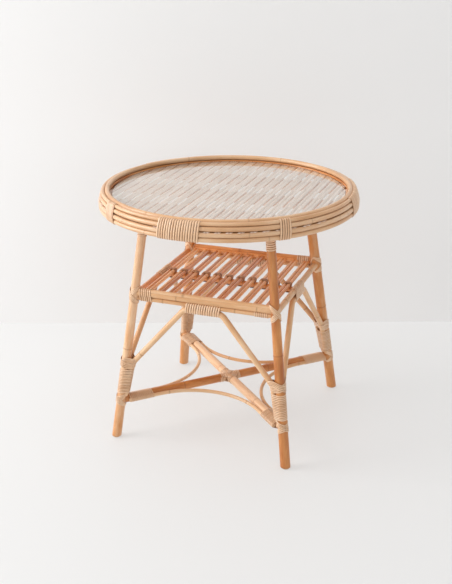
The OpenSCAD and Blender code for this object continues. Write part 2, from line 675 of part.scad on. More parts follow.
leg_front_left();
leg_front_right();
leg_back_left();
leg_back_right();
foot_glide_front_left();
foot_glide_front_right();
foot_glide_back_left();
foot_glide_back_right();
rim_core_ring();
rim_packing_ring();
rim_bead();
rim_hoop_1();
rim_hoop_2();
rim_hoop_3();
rim_hoop_4();
deck_pole_front();
deck_pole_middle();
deck_pole_back();
deck_split_canes();
glass_top();
shelf_rail_front();
shelf_rail_back();
shelf_rail_left();
shelf_rail_right();
shelf_under_cane_front();
shelf_under_cane_back();
shelf_cover_front();
shelf_cover_back();
shelf_middle_bar();
shelf_slats();
arch_brace_front();
arch_brace_back();
arch_brace_left();
arch_brace_right();
stretcher_pole_a();
stretcher_pole_b();
bent_cane_front();
bent_cane_back();
bent_cane_left();
bent_cane_right();
rim_bindings();
leg_top_bindings();
shelf_corner_bindings();
rail_end_bindings();
slat_lashings();
arch_top_bindings();
brace_foot_bindings();
leg_wrappings();
stretcher_corner_bindings();
stretcher_arm_bindings();
stretcher_cross_lashing();
joint_nails();
cross_pin();
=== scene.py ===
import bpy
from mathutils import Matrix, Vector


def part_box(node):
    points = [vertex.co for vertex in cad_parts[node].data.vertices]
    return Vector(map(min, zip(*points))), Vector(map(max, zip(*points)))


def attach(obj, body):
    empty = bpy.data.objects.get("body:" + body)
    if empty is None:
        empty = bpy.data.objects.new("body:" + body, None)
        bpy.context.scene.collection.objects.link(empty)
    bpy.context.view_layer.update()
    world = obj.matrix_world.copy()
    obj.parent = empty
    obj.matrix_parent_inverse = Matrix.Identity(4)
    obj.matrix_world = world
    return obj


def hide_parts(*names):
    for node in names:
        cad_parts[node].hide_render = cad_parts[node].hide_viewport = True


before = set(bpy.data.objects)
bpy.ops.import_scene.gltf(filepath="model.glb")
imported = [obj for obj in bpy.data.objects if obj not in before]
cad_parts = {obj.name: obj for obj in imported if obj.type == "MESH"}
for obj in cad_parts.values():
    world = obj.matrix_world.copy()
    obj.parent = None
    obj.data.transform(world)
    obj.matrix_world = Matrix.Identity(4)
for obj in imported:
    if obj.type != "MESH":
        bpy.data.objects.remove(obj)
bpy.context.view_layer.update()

import math

import bpy
import numpy as np
from mathutils import Matrix, Vector

# ------------------------------------------------------------------
# sizes in millimetres, the same as the frame's
# ------------------------------------------------------------------
FOOT, LEAN = 207.5, 0.12
CORE = (272.6, 546.5, 10.0)
HOOPS = [(282.4, 570.1, 4.4), (285.2, 560.6, 5.2), (288.0, 549.0, 5.2), (288.0, 538.5, 5.0)]
PACK = (272.1, 562.65, 3.5)
BEAD = (272.6, 572.4, 5.5)
DECK_Z = 556.5
POLE_Y, POLE_R, POLE_Z = 141.0, 13.0, 543.5
RAIL_Z, RAIL_R, UNDER_R, UNDER_Z = 354.0, 7.5, 5.0, 341.45
SIDE_R, SIDE_Z = 7.0, 347.5
MID_R, MID_Z = 6.5, 341.2
SLAT_R, SLAT_Z, SLAT_PITCH, SLAT_N = 4.3, 352.3, 28.6, 11
BR_R = 6.5
TAIL, KNEE, TOPC = (184.5, 104.0), (169.0, 186.0), (44.0, 330.0)
ST_Z, ST_R = 94.0, 10.0
CANE_R, CANE_OFF, CANE_APEX = 4.2, 14.25, 91.0


def leg_s(z):
    return FOOT - LEAN * z


def leg_r(c, z):
    """Radius of a leg pole: the front poles are thinner and taper more."""
    a, b = ((11.2, 9.7) if c[1] < 0 else (12.5, 12.0))
    return a + (b - a) * min(max(z / 538.0, 0.0), 1.0)


RAIL_Y = leg_s(RAIL_Z)
SIDE_X = leg_s(SIDE_Z)
ARM_END = leg_s(ST_Z) * math.sqrt(2) - 12.25 - 2.8
CORNERS = [(-1, -1), (1, -1), (1, 1), (-1, 1)]


# ------------------------------------------------------------------
# mesh building
# ------------------------------------------------------------------
def unit(v):
    v = np.asarray(v, float)
    return v / np.linalg.norm(v, axis=-1, keepdims=True)


def hash01(*a):
    x = 0.0
    for i, v in enumerate(a):
        x += math.sin(v * (12.9898 + 7.31 * i) + 4.137 * i) * 43758.5453
    return x - math.floor(x)


class Piece:
    """Collects vertices, faces and the attributes that the rattan materials read."""

    def __init__(self, name):
        self.name = name
        self.v, self.f, self.gr, self.nd, self.rn, self.tn = [], [], [], [], [], []
        self.n = 0

    def grid(self, P, gr, nd, rn, tn, wrap=True):
        """P is rings x segments x 3."""
        a, b = P.shape[:2]
        self.v.append(P.reshape(-1, 3))
        self.gr.append(np.broadcast_to(gr, P.shape).reshape(-1, 3))
        self.nd.append(np.broadcast_to(np.asarray(nd, float), (a, b)).reshape(-1))
        self.rn.append(np.full(a * b, rn, float))
        self.tn.append(np.broadcast_to(np.asarray(tn, float), (a, b)).reshape(-1))
        idx = self.n + np.arange(a * b).reshape(a, b)
        j = np.roll(idx, -1, 1) if wrap else idx
        if wrap:
            q = np.stack([idx[:-1], idx[1:], np.roll(idx, -1, 1)[1:], j[:-1]], -1)
        else:
            q = np.stack([idx[:-1, :-1], idx[1:, :-1], idx[1:, 1:], idx[:-1, 1:]], -1)
        self.f.extend(q.reshape(-1, 4).tolist())
        self.n += a * b
        return idx

    def fan(self, ring, flip):
        r = list(int(i) for i in ring)
        self.f.append(r[::-1] if flip else r)

    def build(self, mat, body="frame", replaces=(), smooth_angle=None):
        V = np.concatenate(self.v) * 0.001
        me = bpy.data.meshes.new(self.name)
        me.from_pydata(V.tolist(), [], self.f)
        for nm, data, kind in (("gr", np.concatenate(self.gr), "FLOAT_VECTOR"), ("nd", np.concatenate(self.nd), "FLOAT"),
                               ("rn", np.concatenate(self.rn), "FLOAT"), ("tn", np.concatenate(self.tn), "FLOAT")):
            at = me.attributes.new(nm, kind, "POINT")
            at.data.foreach_set("vector" if kind == "FLOAT_VECTOR" else "value", data.astype(np.float32).ravel())
        me.polygons.foreach_set("use_smooth", np.array([len(p) <= 4 for p in self.f], dtype=bool))
        me.materials.append(mat)
        me.update()
        ob = bpy.data.objects.new(self.name, me)
        bpy.context.scene.collection.objects.link(ob)
        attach(ob, body)
        if replaces:
            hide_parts(*replaces)
        return ob


def arclen(P):
    return np.concatenate([[0], np.cumsum(np.linalg.norm(np.diff(P, axis=0), axis=1))])


def resample(P, s, L=None):
    L = arclen(P) if L is None else L
    return np.stack([np.interp(s, L, P[:, k]) for k in range(3)], 1)


def transport(P, start=None):
    T = np.gradient(P, axis=0)
    T = unit(T)
    n = np.array([0, 0, 1.0]) if start is None else np.asarray(start, float)
    if abs(np.dot(n, T[0])) > 0.95:
        n = np.array([1.0, 0, 0])
    N = np.empty_like(P)
    for i in range(len(P)):
        n = n - T[i] * np.dot(n, T[i])
        n = n / np.linalg.norm(n)
        N[i] = n
    return T, N, np.cross(T, N)


def wave(s, seed, lo=40.0, n=4):
    """Slow deterministic wander along a cane, about -1 to 1."""
    out = np.zeros_like(s)
    for k in range(n):
        wl = lo * (2.3 ** (k + 1))
        out += math.sin(seed * 3.1 + k) * 0 + np.sin(2 * math.pi * s / wl + 6.283 * hash01(seed, k)) * (0.35 + 0.2 * k)
    return out / 2.4


def tube(pc, P, r, seed, seg=16, step=6.0, node_gap=240.0, node_first=None, lump=0.018, ridge=0.32, bend=0.0,
         taper0=None, taper1=None, cap=0.7, start=None, tone=None, oval=0.02, r_end=None):
    """A round cane along P, with the ringed nodes, slight swelling and rounded cut ends of the real one."""
    P = np.asarray(P, float)
    L = arclen(P)
    total = L[-1]
    first = node_gap * (0.25 + 0.6 * hash01(seed, 5.5)) if node_first is None else node_first
    nodes = []
    x = first
    k = 0
    while x < total - 12:
        nodes.append(x)
        k += 1
        x += node_gap * (0.8 + 0.4 * hash01(seed, k, 1.7))
    s = list(np.linspace(0, total, max(3, int(total / step) + 1)))
    for q in nodes:
        s += [q + d for d in (-5, -3.2, -2.0, -1.1, -0.4, 0.4, 1.1, 2.0, 3.2, 5)]
    s += [cap * 0.35, cap, total - cap, total - cap * 0.35]
    s = np.unique(np.clip(np.round(s, 3), 0, total))
    C = resample(P, s, L)
    if bend:
        T, N, B = transport(C, start)
        env = np.clip(np.minimum(s, total - s) / 40.0, 0, 1)
        C = C + N * (wave(s, seed + 11.3, 60) * bend * env)[:, None] + B * (wave(s, seed + 23.9, 60) * bend * env)[:, None]
    T, N, B = transport(C, start)
    rad = (r + ((r if r_end is None else r_end) - r) * s / total) * (1 + lump * wave(s, seed + 2.2))
    nd = np.zeros_like(s)
    for q in nodes:
        rad = rad + ridge * np.exp(-((s - q) / 1.5) ** 2) - ridge * 0.35 * np.exp(-((s - q - 3.4) / 1.4) ** 2)
        nd = np.maximum(nd, np.exp(-((s - q) / 1.7) ** 2))
    if taper0:
        rad = rad * np.clip(taper0[1] + (1 - taper0[1]) * s / taper0[0], 0, 1)
    if taper1:
        rad = rad * np.clip(taper1[1] + (1 - taper1[1]) * (total - s) / taper1[0], 0, 1)
    edge = np.clip(np.minimum(s, total - s) / cap, 0, 1)
    rad = rad - cap * (1 - np.sqrt(np.clip(1 - (1 - edge) ** 2, 0, 1)))
    th = np.linspace(0, 2 * math.pi, seg, endpoint=False)
    ov = 1 + oval * np.cos(2 * th[None, :] + 6.28 * hash01(seed, 9.1))
    R = rad[:, None] * ov
    ring = C[:, None, :] + N[:, None, :] * (np.cos(th)[None, :, None] * R[:, :, None]) + B[:, None, :] * (np.sin(th)[None, :, None] * R[:, :, None])
    gr = np.stack([np.cos(th)[None, :] * r + 0 * R, np.sin(th)[None, :] * r + 0 * R, np.repeat(s[:, None], seg, 1)], -1)
    gr = gr + np.array([37.0 * hash01(seed, 1), 53.0 * hash01(seed, 2), 900.0 * hash01(seed, 3)])
    rn = hash01(seed, 4.4) if tone is None else tone
    idx = pc.grid(ring, gr, np.repeat(nd[:, None], seg, 1), rn, 0.0)
    # cut ends: pale pith, told by tn = 1
    for e, flip in ((0, False), (-1, True)):
        ctr = ring[e]
        m = ctr.mean(0)
        lens = m + (ctr - m) * 0.999
        j = pc.n
        pc.v.append(lens)
        pc.gr.append(gr[e] + (ctr - m) * 0.4)
        pc.nd.append(np.zeros(seg))
        pc.rn.append(np.full(seg, rn))
        pc.tn.append(np.ones(seg))
        pc.n += seg
        pc.fan(range(j, j + seg), flip)
    return idx


def band(pc, C, Nn, La, w, t, seed, turn=0.5, round_ends=True, closed=False, crown=0.66):
    """A flat strip of peel along C, lying with its back on C; Nn points out, La across."""
    q = np.array([-1.0, -0.93, -0.72, -0.36, 0.0, 0.36, 0.72, 0.93, 1.0, 0.9, 0.0, -0.9])
    h = np.array([0.25, 0.62, 0.62 + 0.55 * crown * 0.55, 0.62 + crown * 0.76, 0.62 + 0.85 * crown, 0.62 + crown * 0.76, 0.62 + 0.55 * crown * 0.55,
                  0.62, 0.25, -0.12, -0.12, -0.12])
    C = np.asarray(C, float)
    n = len(C)
    s = arclen(C)
    W = np.full(n, w / 2) * (1 + 0.035 * wave(s, seed + 3.3, 12, 3))
    ring = C[:, None, :] + La[:, None, :] * (q[None, :, None] * W[:, None, None]) + Nn[:, None, :] * (h[None, :, None] * t)
    gr = np.stack([np.broadcast_to(q * w / 2, (n, len(q))), np.broadcast_to(h * t, (n, len(q))), np.repeat(s[:, None], len(q), 1)], -1)
    gr = gr + np.array([31.0 * hash01(seed, 1), 57.0 * hash01(seed, 2), 700.0 * hash01(seed, 3)])
    # painted shade mask: 1 at the cut sides and the underside of the strip, drawing the dark lines where the turns meet
    e = np.array([1, 0.95, 0.5, 0.06, 0, 0.06, 0.5, 0.95, 1, 1, 1, 1.0])
    idx = pc.grid(ring, gr, np.broadcast_to(e, (n, len(q))), turn, 0.0)
    pc.fan(idx[0], False)
    pc.fan(idx[-1], True)


def smooth_rows(X, k=2, closed=False):
    for _ in range(k):
        if closed:
            X = (np.roll(X, 1, 0) + 2 * X + np.roll(X, -1, 0)) / 4
        else:
            Y = X.copy()
            Y[1:-1] = (X[:-2] + 2 * X[1:-1] + X[2:]) / 4
            X = Y
    return X


# ------------------------------------------------------------------
# sections: the taut outline round several canes
# ------------------------------------------------------------------
def hull2(pts):
    pts = sorted(set(map(tuple, np.round(pts, 5))))
    def half(ps):
        out = []
        for p in ps:
            while len(out) >= 2 and (out[-1][0] - out[-2][0]) * (p[1] - out[-2][1]) - (out[-1][1] - out[-2][1]) * (p[0] - out[-2][0]) <= 0:
                out.pop()
            out.append(p)
        return out
    a, b = half(pts), half(pts[::-1])
    return np.array(a[:-1] + b[:-1])


TH = np.linspace(0, 2 * math.pi, 40, endpoint=False)
NPOL = 120
POL = np.linspace(0, 2 * math.pi, NPOL, endpoint=False)


def polar_outline(circles):
    """Radius by angle of the hull of some circles, about the first circle's middle."""
    cx, cy = circles[0][:2]
    if len(circles) == 1:
        return np.full(NPOL, circles[0][2], float)
    pts = np.concatenate([np.stack([c[0] - cx + c[2] * np.cos(TH), c[1] - cy + c[2] * np.sin(TH)], 1) for c in circles])
    H = hull2(pts)
    A = H
    B = np.roll(H, -1, 0)
    D = np.stack([np.cos(POL), np.sin(POL)], 1)
    best = np.full(NPOL, 1e9)
    E = B - A
    den = D[:, None, 0] * E[None, :, 1] - D[:, None, 1] * E[None, :, 0]
    t = (A[None, :, 0] * E[None, :, 1] - A[None, :, 1] * E[None, :, 0]) / np.where(abs(den) < 1e-9, 1e-9, den)
    u = (A[None, :, 0] * D[:, None, 1] - A[None, :, 1] * D[:, None, 0]) / np.where(abs(den) < 1e-9, 1e-9, den)
    ok = (t > 0) & (u >= -1e-6) & (u <= 1 + 1e-6)
    best = np.where(ok, t, 1e9).min(1)
    return best


class Bundle:
    """Surface of one or more canes running along an axis: point(s, angle) and its outward normal."""

    def __init__(self, origin, U, e1, e2, circles, smin, smax, n=24):
        self.o, self.U, self.e1, self.e2 = [np.asarray(x, float) for x in (origin, U, e1, e2)]
        self.ss = np.linspace(smin, smax, n)
        self.R = np.stack([polar_outline(circles(s)) for s in self.ss])
        self.c = np.array([circles(s)[0][:2] for s in self.ss])

    def at(self, s, a):
        s = np.asarray(s, float)
        a = np.asarray(a, float) % (2 * math.pi)
        fi = np.clip((s - self.ss[0]) / (self.ss[-1] - self.ss[0]) * (len(self.ss) - 1), 0, len(self.ss) - 1.0001)
        i = fi.astype(int)
        fi = fi - i
        fa = a / (2 * math.pi) * NPOL
        j = np.floor(fa).astype(int)
        fj = fa - j
        j = j % NPOL
        j2 = (j + 1) % NPOL
        r = (self.R[i, j] * (1 - fj) + self.R[i, j2] * fj) * (1 - fi) + (self.R[i + 1, j] * (1 - fj) + self.R[i + 1, j2] * fj) * fi
        cx = self.c[i, 0] * (1 - fi) + self.c[i + 1, 0] * fi
        cy = self.c[i, 1] * (1 - fi) + self.c[i + 1, 1] * fi
        return (self.o + s[:, None] * self.U + (cx + r * np.cos(a))[:, None] * self.e1 + (cy + r * np.sin(a))[:, None] * self.e2)

    def strip(self, pc, s, a, w, t, seed, lift=0.0, turn=0.5):
        ds, da = 0.6, 0.05
        P = self.at(s, a)
        Ts = self.at(s + ds, a) - self.at(s - ds, a)
        Ta = self.at(s, a + da) - self.at(s, a - da)
        N = unit(smooth_rows(unit(np.cross(Ta, Ts)), 2))
        mid = self.o + s[:, None] * self.U + self.c[0][0] * self.e1 + self.c[0][1] * self.e2
        sign = np.sign(np.sum((P - mid) * N, 1).mean())
        N = N * sign
        P = P + N * (np.asarray(lift, float) * np.ones(len(P)))[:, None]
        T = unit(np.gradient(P, axis=0))
        N = unit(N - T * np.sum(N * T, 1)[:, None])
        band(pc, P, N, np.cross(N, T), w, t, seed, turn)

    def wind(self, pc, s0, s1, pitch, w, t, seed, a0=0.0, sense=1, lift=0.0, per=44):
        """Close turns side by side from s0 to s1."""
        turns = max(1, int(round(abs(s1 - s0) / pitch)))
        p = (s1 - s0) / turns
        for k in range(turns):
            u = np.linspace(0, 1, per + 1)
            jit = 0.10 * pitch * (hash01(seed, k, 2.0) - 0.5)
            s = s0 + p * (k + 0.5) + jit + p * (u - 0.5) * 0.98
            self.strip(pc, s, a0 + sense * 2 * math.pi * u, w * (0.97 + 0.05 * hash01(seed, k)), t * (0.92 + 0.16 * hash01(seed, k, 6.0)), seed + k * 1.37, lift,
                       turn=hash01(seed, k, 3.0))

    def loop(self, pc, ctrl, w, t, seed, lift=0.0, per=72, turn=0.5):
        """A closed lash through control points (angle in degrees, s)."""
        c = sorted([(a % 360, s) for a, s in ctrl])
        A = np.array([x[0] for x in c], float)
        S = np.array([x[1] for x in c], float)
        u = np.linspace(0, 360, per + 1)
        AA = np.concatenate([A - 360, A, A + 360])
        SS = np.concatenate([S, S, S])
        s = np.interp(u, AA, SS)
        for _ in range(10):
            s[:-1] = (np.roll(s[:-1], 1) + 2 * s[:-1] + np.roll(s[:-1], -1)) / 4
        s[-1] = s[0]
        self.strip(pc, s, np.radians(u), w, t, seed, lift, turn)


# ------------------------------------------------------------------
# materials
# ------------------------------------------------------------------
def srgb(r, g, b):
    def f(c):
        c /= 255.0
        return c / 12.92 if c <= 0.04045 else ((c + 0.055) / 1.055) ** 2.4
    return (f(r), f(g), f(b), 1.0)


class Nodes:
    def __init__(self, name):
        self.m = bpy.data.materials.new(name)
        self.m.use_nodes = True
        self.t = self.m.node_tree
        self.t.nodes.clear()
        self.x = 0

    def new(self, kind, **kw):
        n = self.t.nodes.new(kind)
        self.x += 1
        n.location = (self.x * 30, -self.x * 12)
        for k, v in kw.items():
            setattr(n, k, v)
        return n

    def link(self, a, b):
        self.t.links.new(a, b)

    def val(self, sock, v):
        if isinstance(v, (int, float, tuple, list)):
            sock.default_value = v
        else:
            self.link(v, sock)

    def attr(self, name):
        return self.new("ShaderNodeAttribute", attribute_name=name)

    def scale(self, vec, s, off=(0, 0, 0)):
        n = self.new("ShaderNodeMapping")
        self.link(vec, n.inputs["Vector"])
        n.inputs["Scale"].default_value = s
        n.inputs["Location"].default_value = off
        return n.outputs["Vector"]

    def noise(self, vec, scale, detail=3.0, rough=0.55, dist=0.0):
        n = self.new("ShaderNodeTexNoise")
        self.link(vec, n.inputs["Vector"])
        n.inputs["Scale"].default_value = scale
        n.inputs["Detail"].default_value = detail
        n.inputs["Roughness"].default_value = rough
        n.inputs["Distortion"].default_value = dist
        return n.outputs["Fac"]

    def ramp(self, fac, stops, interp="LINEAR"):
        n = self.new("ShaderNodeValToRGB")
        n.color_ramp.interpolation = interp
        while len(n.color_ramp.elements) < len(stops):
            n.color_ramp.elements.new(0.5)
        for e, (p, c) in zip(n.color_ramp.elements, stops):
            e.position = p
            e.color = c if len(c) == 4 else (*c, 1)
        self.link(fac, n.inputs["Fac"])
        return n.outputs["Color"]

    def math(self, op, a, b=0.0, c=0.0, clamp=False):
        n = self.new("ShaderNodeMath", operation=op, use_clamp=clamp)
        self.val(n.inputs[0], a)
        self.val(n.inputs[1], b)
        if len(n.inputs) > 2:
            self.val(n.inputs[2], c)
        return n.outputs[0]

    def mix(self, fac, a, b, blend="MIX"):
        n = self.new("ShaderNodeMix", data_type="RGBA", blend_type=blend)
        self.val(n.inputs[0], fac)
        self.val(n.inputs[6], a)
        self.val(n.inputs[7], b)
        return n.outputs[2]

    def range(self, v, a, b, c, d):
        n = self.new("ShaderNodeMapRange")
        self.val(n.inputs[0], v)
        for i, q in enumerate((a, b, c, d)):
            n.inputs[1 + i].default_value = q
        return n.outputs[0]


def rattan(name, light, mid, dark, rough=0.42, coat=0.25, peel=False, spread=0.5, node_dark=0.55, streak=0.35):
    """Cane: long fibre grain, pores, tone drifting along its length, darker node rings (on peel strips painted shade
    along the cut edges instead), pale pith at cut ends.
    """
    N = Nodes(name)
    gr = N.attr("gr").outputs["Vector"]
    rn = N.attr("rn").outputs["Fac"]
    nd = N.attr("nd").outputs["Fac"]
    tn = N.attr("tn").outputs["Fac"]
    drift = N.noise(N.scale(gr, (0.05, 0.05, 0.011)), 1.0, 3.0, 0.6)
    fibre = N.noise(N.scale(gr, (1.7, 1.7, 0.022)), 1.0, 3.0, 0.65, 0.15)
    fine = N.noise(N.scale(gr, (5.0, 5.0, 0.12), (3, 7, 1)), 1.0, 2.0, 0.6)
    pores = N.noise(N.scale(gr, (3.2, 3.2, 0.28), (11, 2, 5)), 1.0, 1.0, 0.5)
    blotch = N.noise(N.scale(gr, (0.10, 0.10, 0.045), (5, 1, 9)), 1.0, 4.0, 0.7, 0.4)
    # tone: per cane, drifting along it
    tone = N.math("ADD", N.math("MULTIPLY", N.math("SUBTRACT", rn, 0.5), spread), N.range(drift, 0.3, 0.7, 0.22, 0.78))
    base = N.ramp(tone, [(0.0, light), (0.5, mid), (1.0, dark)])
    f = N.range(fibre, 0.34, 0.68, 0.0, 1.0)
    base = N.mix(N.math("MULTIPLY", f, streak), base, N.mix(0.75, base, dark))
    spots = N.range(pores, 0.64, 0.74, 0.0, 0.38)
    base = N.mix(spots, base, N.mix(0.85, base, (dark[0] * 0.45, dark[1] * 0.4, dark[2] * 0.35, 1)))
    bl = N.range(blotch, 0.56, 0.75, 0.0, 0.45)
    base = N.mix(bl, base, N.mix(0.6, base, dark))
    if peel:
        # painted shade: on peel strips the nd mask darkens the cut sides and underside of each strip, for the dark
        # lines between turns
        edge = N.math("MULTIPLY", nd, 0.86)
        base = N.mix(edge, base, (dark[0] * 0.62, dark[1] * 0.55, dark[2] * 0.5, 1))
    else:
        ring = N.math("MULTIPLY", N.math("POWER", nd, 1.3), node_dark)
        base = N.mix(ring, base, (dark[0] * 0.55, dark[1] * 0.45, dark[2] * 0.38, 1))
    pith = N.ramp(N.noise(N.scale(gr, (1.6, 1.6, 1.6), (1, 5, 2)), 1.0, 2.0, 0.7), [(0.35, srgb(232, 208, 176)), (0.62, srgb(196, 160, 120))])
    base = N.mix(tn, base, pith)
    b = N.new("ShaderNodeBsdfPrincipled")
    N.link(base, b.inputs["Base Color"])
    rr = N.math("ADD", N.range(fine, 0.3, 0.7, rough - 0.07, rough + 0.09), N.math("MULTIPLY", tn, 0.3), clamp=True)
    N.link(rr, b.inputs["Roughness"])
    b.inputs["Coat Weight"].default_value = coat
    b.inputs["Coat Roughness"].default_value = 0.28
    b.inputs["IOR"].default_value = 1.48
    b.inputs["Subsurface Weight"].default_value = 0.0
    hgt = N.math("ADD", N.math("MULTIPLY", f, -0.6), N.math("MULTIPLY", fine, 0.45))
    hgt = N.math("ADD", hgt, N.math("MULTIPLY", spots, -0.9))
    bump = N.new("ShaderNodeBump")
    bump.inputs["Strength"].default_value = 0.32
    bump.inputs["Distance"].default_value = 0.00025
    N.link(hgt, bump.inputs["Height"])
    N.link(bump.outputs["Normal"], b.inputs["Normal"])
    out = N.new("ShaderNodeOutputMaterial")
    N.link(b.outputs["BSDF"], out.inputs["Surface"])
    return N.m


M_POLE = rattan("rattan_pole", srgb(245, 206, 166), srgb(216, 146, 80), srgb(176, 98, 38), 0.38, 0.34, spread=0.55, node_dark=0.4)
M_CANE = rattan("rattan_cane", srgb(244, 212, 174), srgb(230, 182, 134), srgb(196, 140, 90), 0.40, 0.3, spread=0.6)
M_HOOP = rattan("rattan_hoop", srgb(243, 211, 175), srgb(225, 177, 131), srgb(193, 140, 92), 0.34, 0.55, spread=0.6, node_dark=0.35)
M_SLAT = rattan("rattan_slat", srgb(255, 197, 133), srgb(240, 163, 95), srgb(188, 108, 48), 0.3, 0.75, spread=0.7)
M_SPLIT = rattan("split_cane", srgb(250, 232, 220), srgb(240, 217, 200), srgb(224, 196, 176), 0.34, 0.5, spread=0.6, streak=0.16, node_dark=0.3)
M_BIND = rattan("peel_strip", srgb(252, 225, 196), srgb(245, 205, 165), srgb(204, 150, 104), 0.33, 0.6, peel=True, spread=0.24, streak=0.18)
M_BIND_D = rattan("peel_strip_dark", srgb(224, 172, 130), srgb(204, 146, 104), srgb(156, 100, 64), 0.38, 0.3, peel=True, spread=0.5, streak=0.25)


def steel(name):
    N = Nodes(name)
    tc = N.new("ShaderNodeTexCoord").outputs["Object"]
    n1 = N.noise(N.scale(tc, (1, 1, 1)), 900.0, 3.0, 0.6)
    b = N.new("ShaderNodeBsdfPrincipled")
    N.link(N.ramp(n1, [(0.35, srgb(96, 82, 68)), (0.65, srgb(52, 42, 34))]), b.inputs["Base Color"])
    b.inputs["Metallic"].default_value = 0.8
    N.link(N.range(n1, 0.3, 0.7, 0.35, 0.6), b.inputs["Roughness"])
    out = N.new("ShaderNodeOutputMaterial")
    N.link(b.outputs["BSDF"], out.inputs["Surface"])
    return N.m


def plastic(name):
    N = Nodes(name)
    tc = N.new("ShaderNodeTexCoord").outputs["Object"]
    n1 = N.noise(N.scale(tc, (1, 1, 1)), 220.0, 4.0, 0.6)
    n2 = N.noise(N.scale(tc, (1, 1, 1)), 1500.0, 2.0, 0.5)
    b = N.new("ShaderNodeBsdfPrincipled")
    N.link(N.ramp(n1, [(0.35, srgb(226, 208, 184)), (0.7, srgb(204, 182, 154))]), b.inputs["Base Color"])
    N.link(N.range(n1, 0.3, 0.7, 0.38, 0.55), b.inputs["Roughness"])
    bump = N.new("ShaderNodeBump")
    bump.inputs["Strength"].default_value = 0.2
    bump.inputs["Distance"].default_value = 0.00015
    N.link(n2, bump.inputs["Height"])
    N.link(bump.outputs["Normal"], b.inputs["Normal"])
    out = N.new("ShaderNodeOutputMaterial")
    N.link(b.outputs["BSDF"], out.inputs["Surface"])
    return N.m


def glass(name):
    N = Nodes(name)
    g = N.new("ShaderNodeBsdfGlass")
    g.inputs["Color"].default_value = (0.985, 0.985, 0.98, 1)
    g.inputs["IOR"].default_value = 1.86
    g.inputs["Roughness"].default_value = 0.0
    t = N.new("ShaderNodeBsdfTransparent")
    t.inputs["Color"].default_value = (0.96, 0.965, 0.96, 1)
    lp = N.new("ShaderNodeLightPath")
    mx = N.new("ShaderNodeMixShader")
    N.link(lp.outputs["Is Shadow Ray"], mx.inputs[0])
    N.link(g.outputs["BSDF"], mx.inputs[1])
    N.link(t.outputs["BSDF"], mx.inputs[2])
    out = N.new("ShaderNodeOutputMaterial")
    N.link(mx.outputs["Shader"], out.inputs["Surface"])
    return N.m


M_STEEL = steel("dark_nail")
M_GLIDE = plastic("glide_plastic")
M_GLASS = glass("float_glass")


# ------------------------------------------------------------------
# legs
# ------------------------------------------------------------------
def leg_pt(c, z):
    return np.array([c[0] * leg_s(z), c[1] * leg_s(z), z])


LEG_NAME = {(-1, -1): "leg_front_left", (1, -1): "leg_front_right", (1, 1): "leg_back_right", (-1, 1): "leg_back_left"}
FOOT_Z = 3.3
LEG_TONE = {(-1, -1): -0.3, (1, -1): 0.88, (1, 1): 0.5, (-1, 1): 0.35}
for k, c in enumerate(CORNERS):
    pc = Piece("vis_" + LEG_NAME[c])
    lean = np.array([c[0] * (leg_s(10) - leg_s(0)) / 10, c[1] * (leg_s(10) - leg_s(0)) / 10, 1.0])
    P = np.array([leg_pt(c, z) if z > 0 else leg_pt(c, 0) + lean * z for z in np.linspace(-1.5, 538, 80)])
    idx = tube(pc, P, leg_r(c, 0) - 0.05, 10 + k * 3.7, r_end=leg_r(c, 538) - 0.05, seg=32, step=7, node_gap=250, node_first=[225, 262, 240, 228][k], ridge=0.42, lump=0.012, tone=LEG_TONE[c], cap=1.0)
    # the foot is sawn level, just above its glide
    pc.v = [v + lean * np.maximum(FOOT_Z - v[:, 2], 0)[:, None] for v in pc.v]
    if c == (-1, -1):
        pc.rn = [np.interp(v[:, 2], (0, 230, 538), (0.12, -0.05, -0.35)) for v in pc.v]
    pc.build(M_POLE, replaces=[LEG_NAME[c]])

# ------------------------------------------------------------------
# rim: bent core, packing cane, bead and four hoops
# ------------------------------------------------------------------
def ring_path(R, z, a0, gap=0.25, n=400, wob=0.0, seed=0.0):
    a = np.radians(np.linspace(a0 + gap / R * 57.3 / 2, a0 + 360 - gap / R * 57.3 / 2, n))
    w = wob * (np.sin(2 * a + seed) * 0.6 + np.sin(5 * a + seed * 2.1) * 0.4)
    v = wob * 0.5 * (np.sin(3 * a + seed * 1.7) * 0.6 + np.sin(7 * a + seed) * 0.4)
    return np.stack([(R + w) * np.cos(a), (R + w) * np.sin(a), z + v], 1)


# the packing ring is pole rattan at a dark tone: partly its own darker colour, partly painted shade for the shaded band
# between the bead and the glass
RINGS = [("rim_core_ring", CORE, 20.0, M_POLE, "pole", 24, 300, 0.3), ("rim_packing_ring", PACK, 60.0, M_POLE, "cane", 12, 260, 0.1),
         ("rim_bead", BEAD, 252.5, M_HOOP, "cane", 22, 290, 0.2),
         ("rim_hoop_1", HOOPS[0], 214.0, M_HOOP, "cane", 18, 240, 0.12), ("rim_hoop_2", HOOPS[1], 262.0, M_HOOP, "cane", 18, 262, 0.12),
         ("rim_hoop_3", HOOPS[2], 271.0, M_HOOP, "cane", 18, 251, 0.12), ("rim_hoop_4", HOOPS[3], 222.0, M_HOOP, "cane", 18, 233, 0.12)]
TONES = {"rim_bead": 0.50, "rim_hoop_1": 0.42, "rim_hoop_2": 0.30, "rim_hoop_3": 0.25, "rim_hoop_4": 0.36, "rim_core_ring": 0.6, "rim_packing_ring": 0.7}
for k, (nm, (R, z, r), a0, mat, slot, seg, gapn, wob) in enumerate(RINGS):
    pc = Piece("vis_" + nm)
    tube(pc, ring_path(R, z, a0, wob=wob, seed=k * 1.3), r - 0.05, 40 + k * 2.9, seg=seg, step=7, node_gap=gapn, ridge=0.24, lump=0.014, tone=TONES[nm], cap=0.6,
         start=(0, 0, 1), oval=0.012)
    pc.build(mat, replaces=[nm])

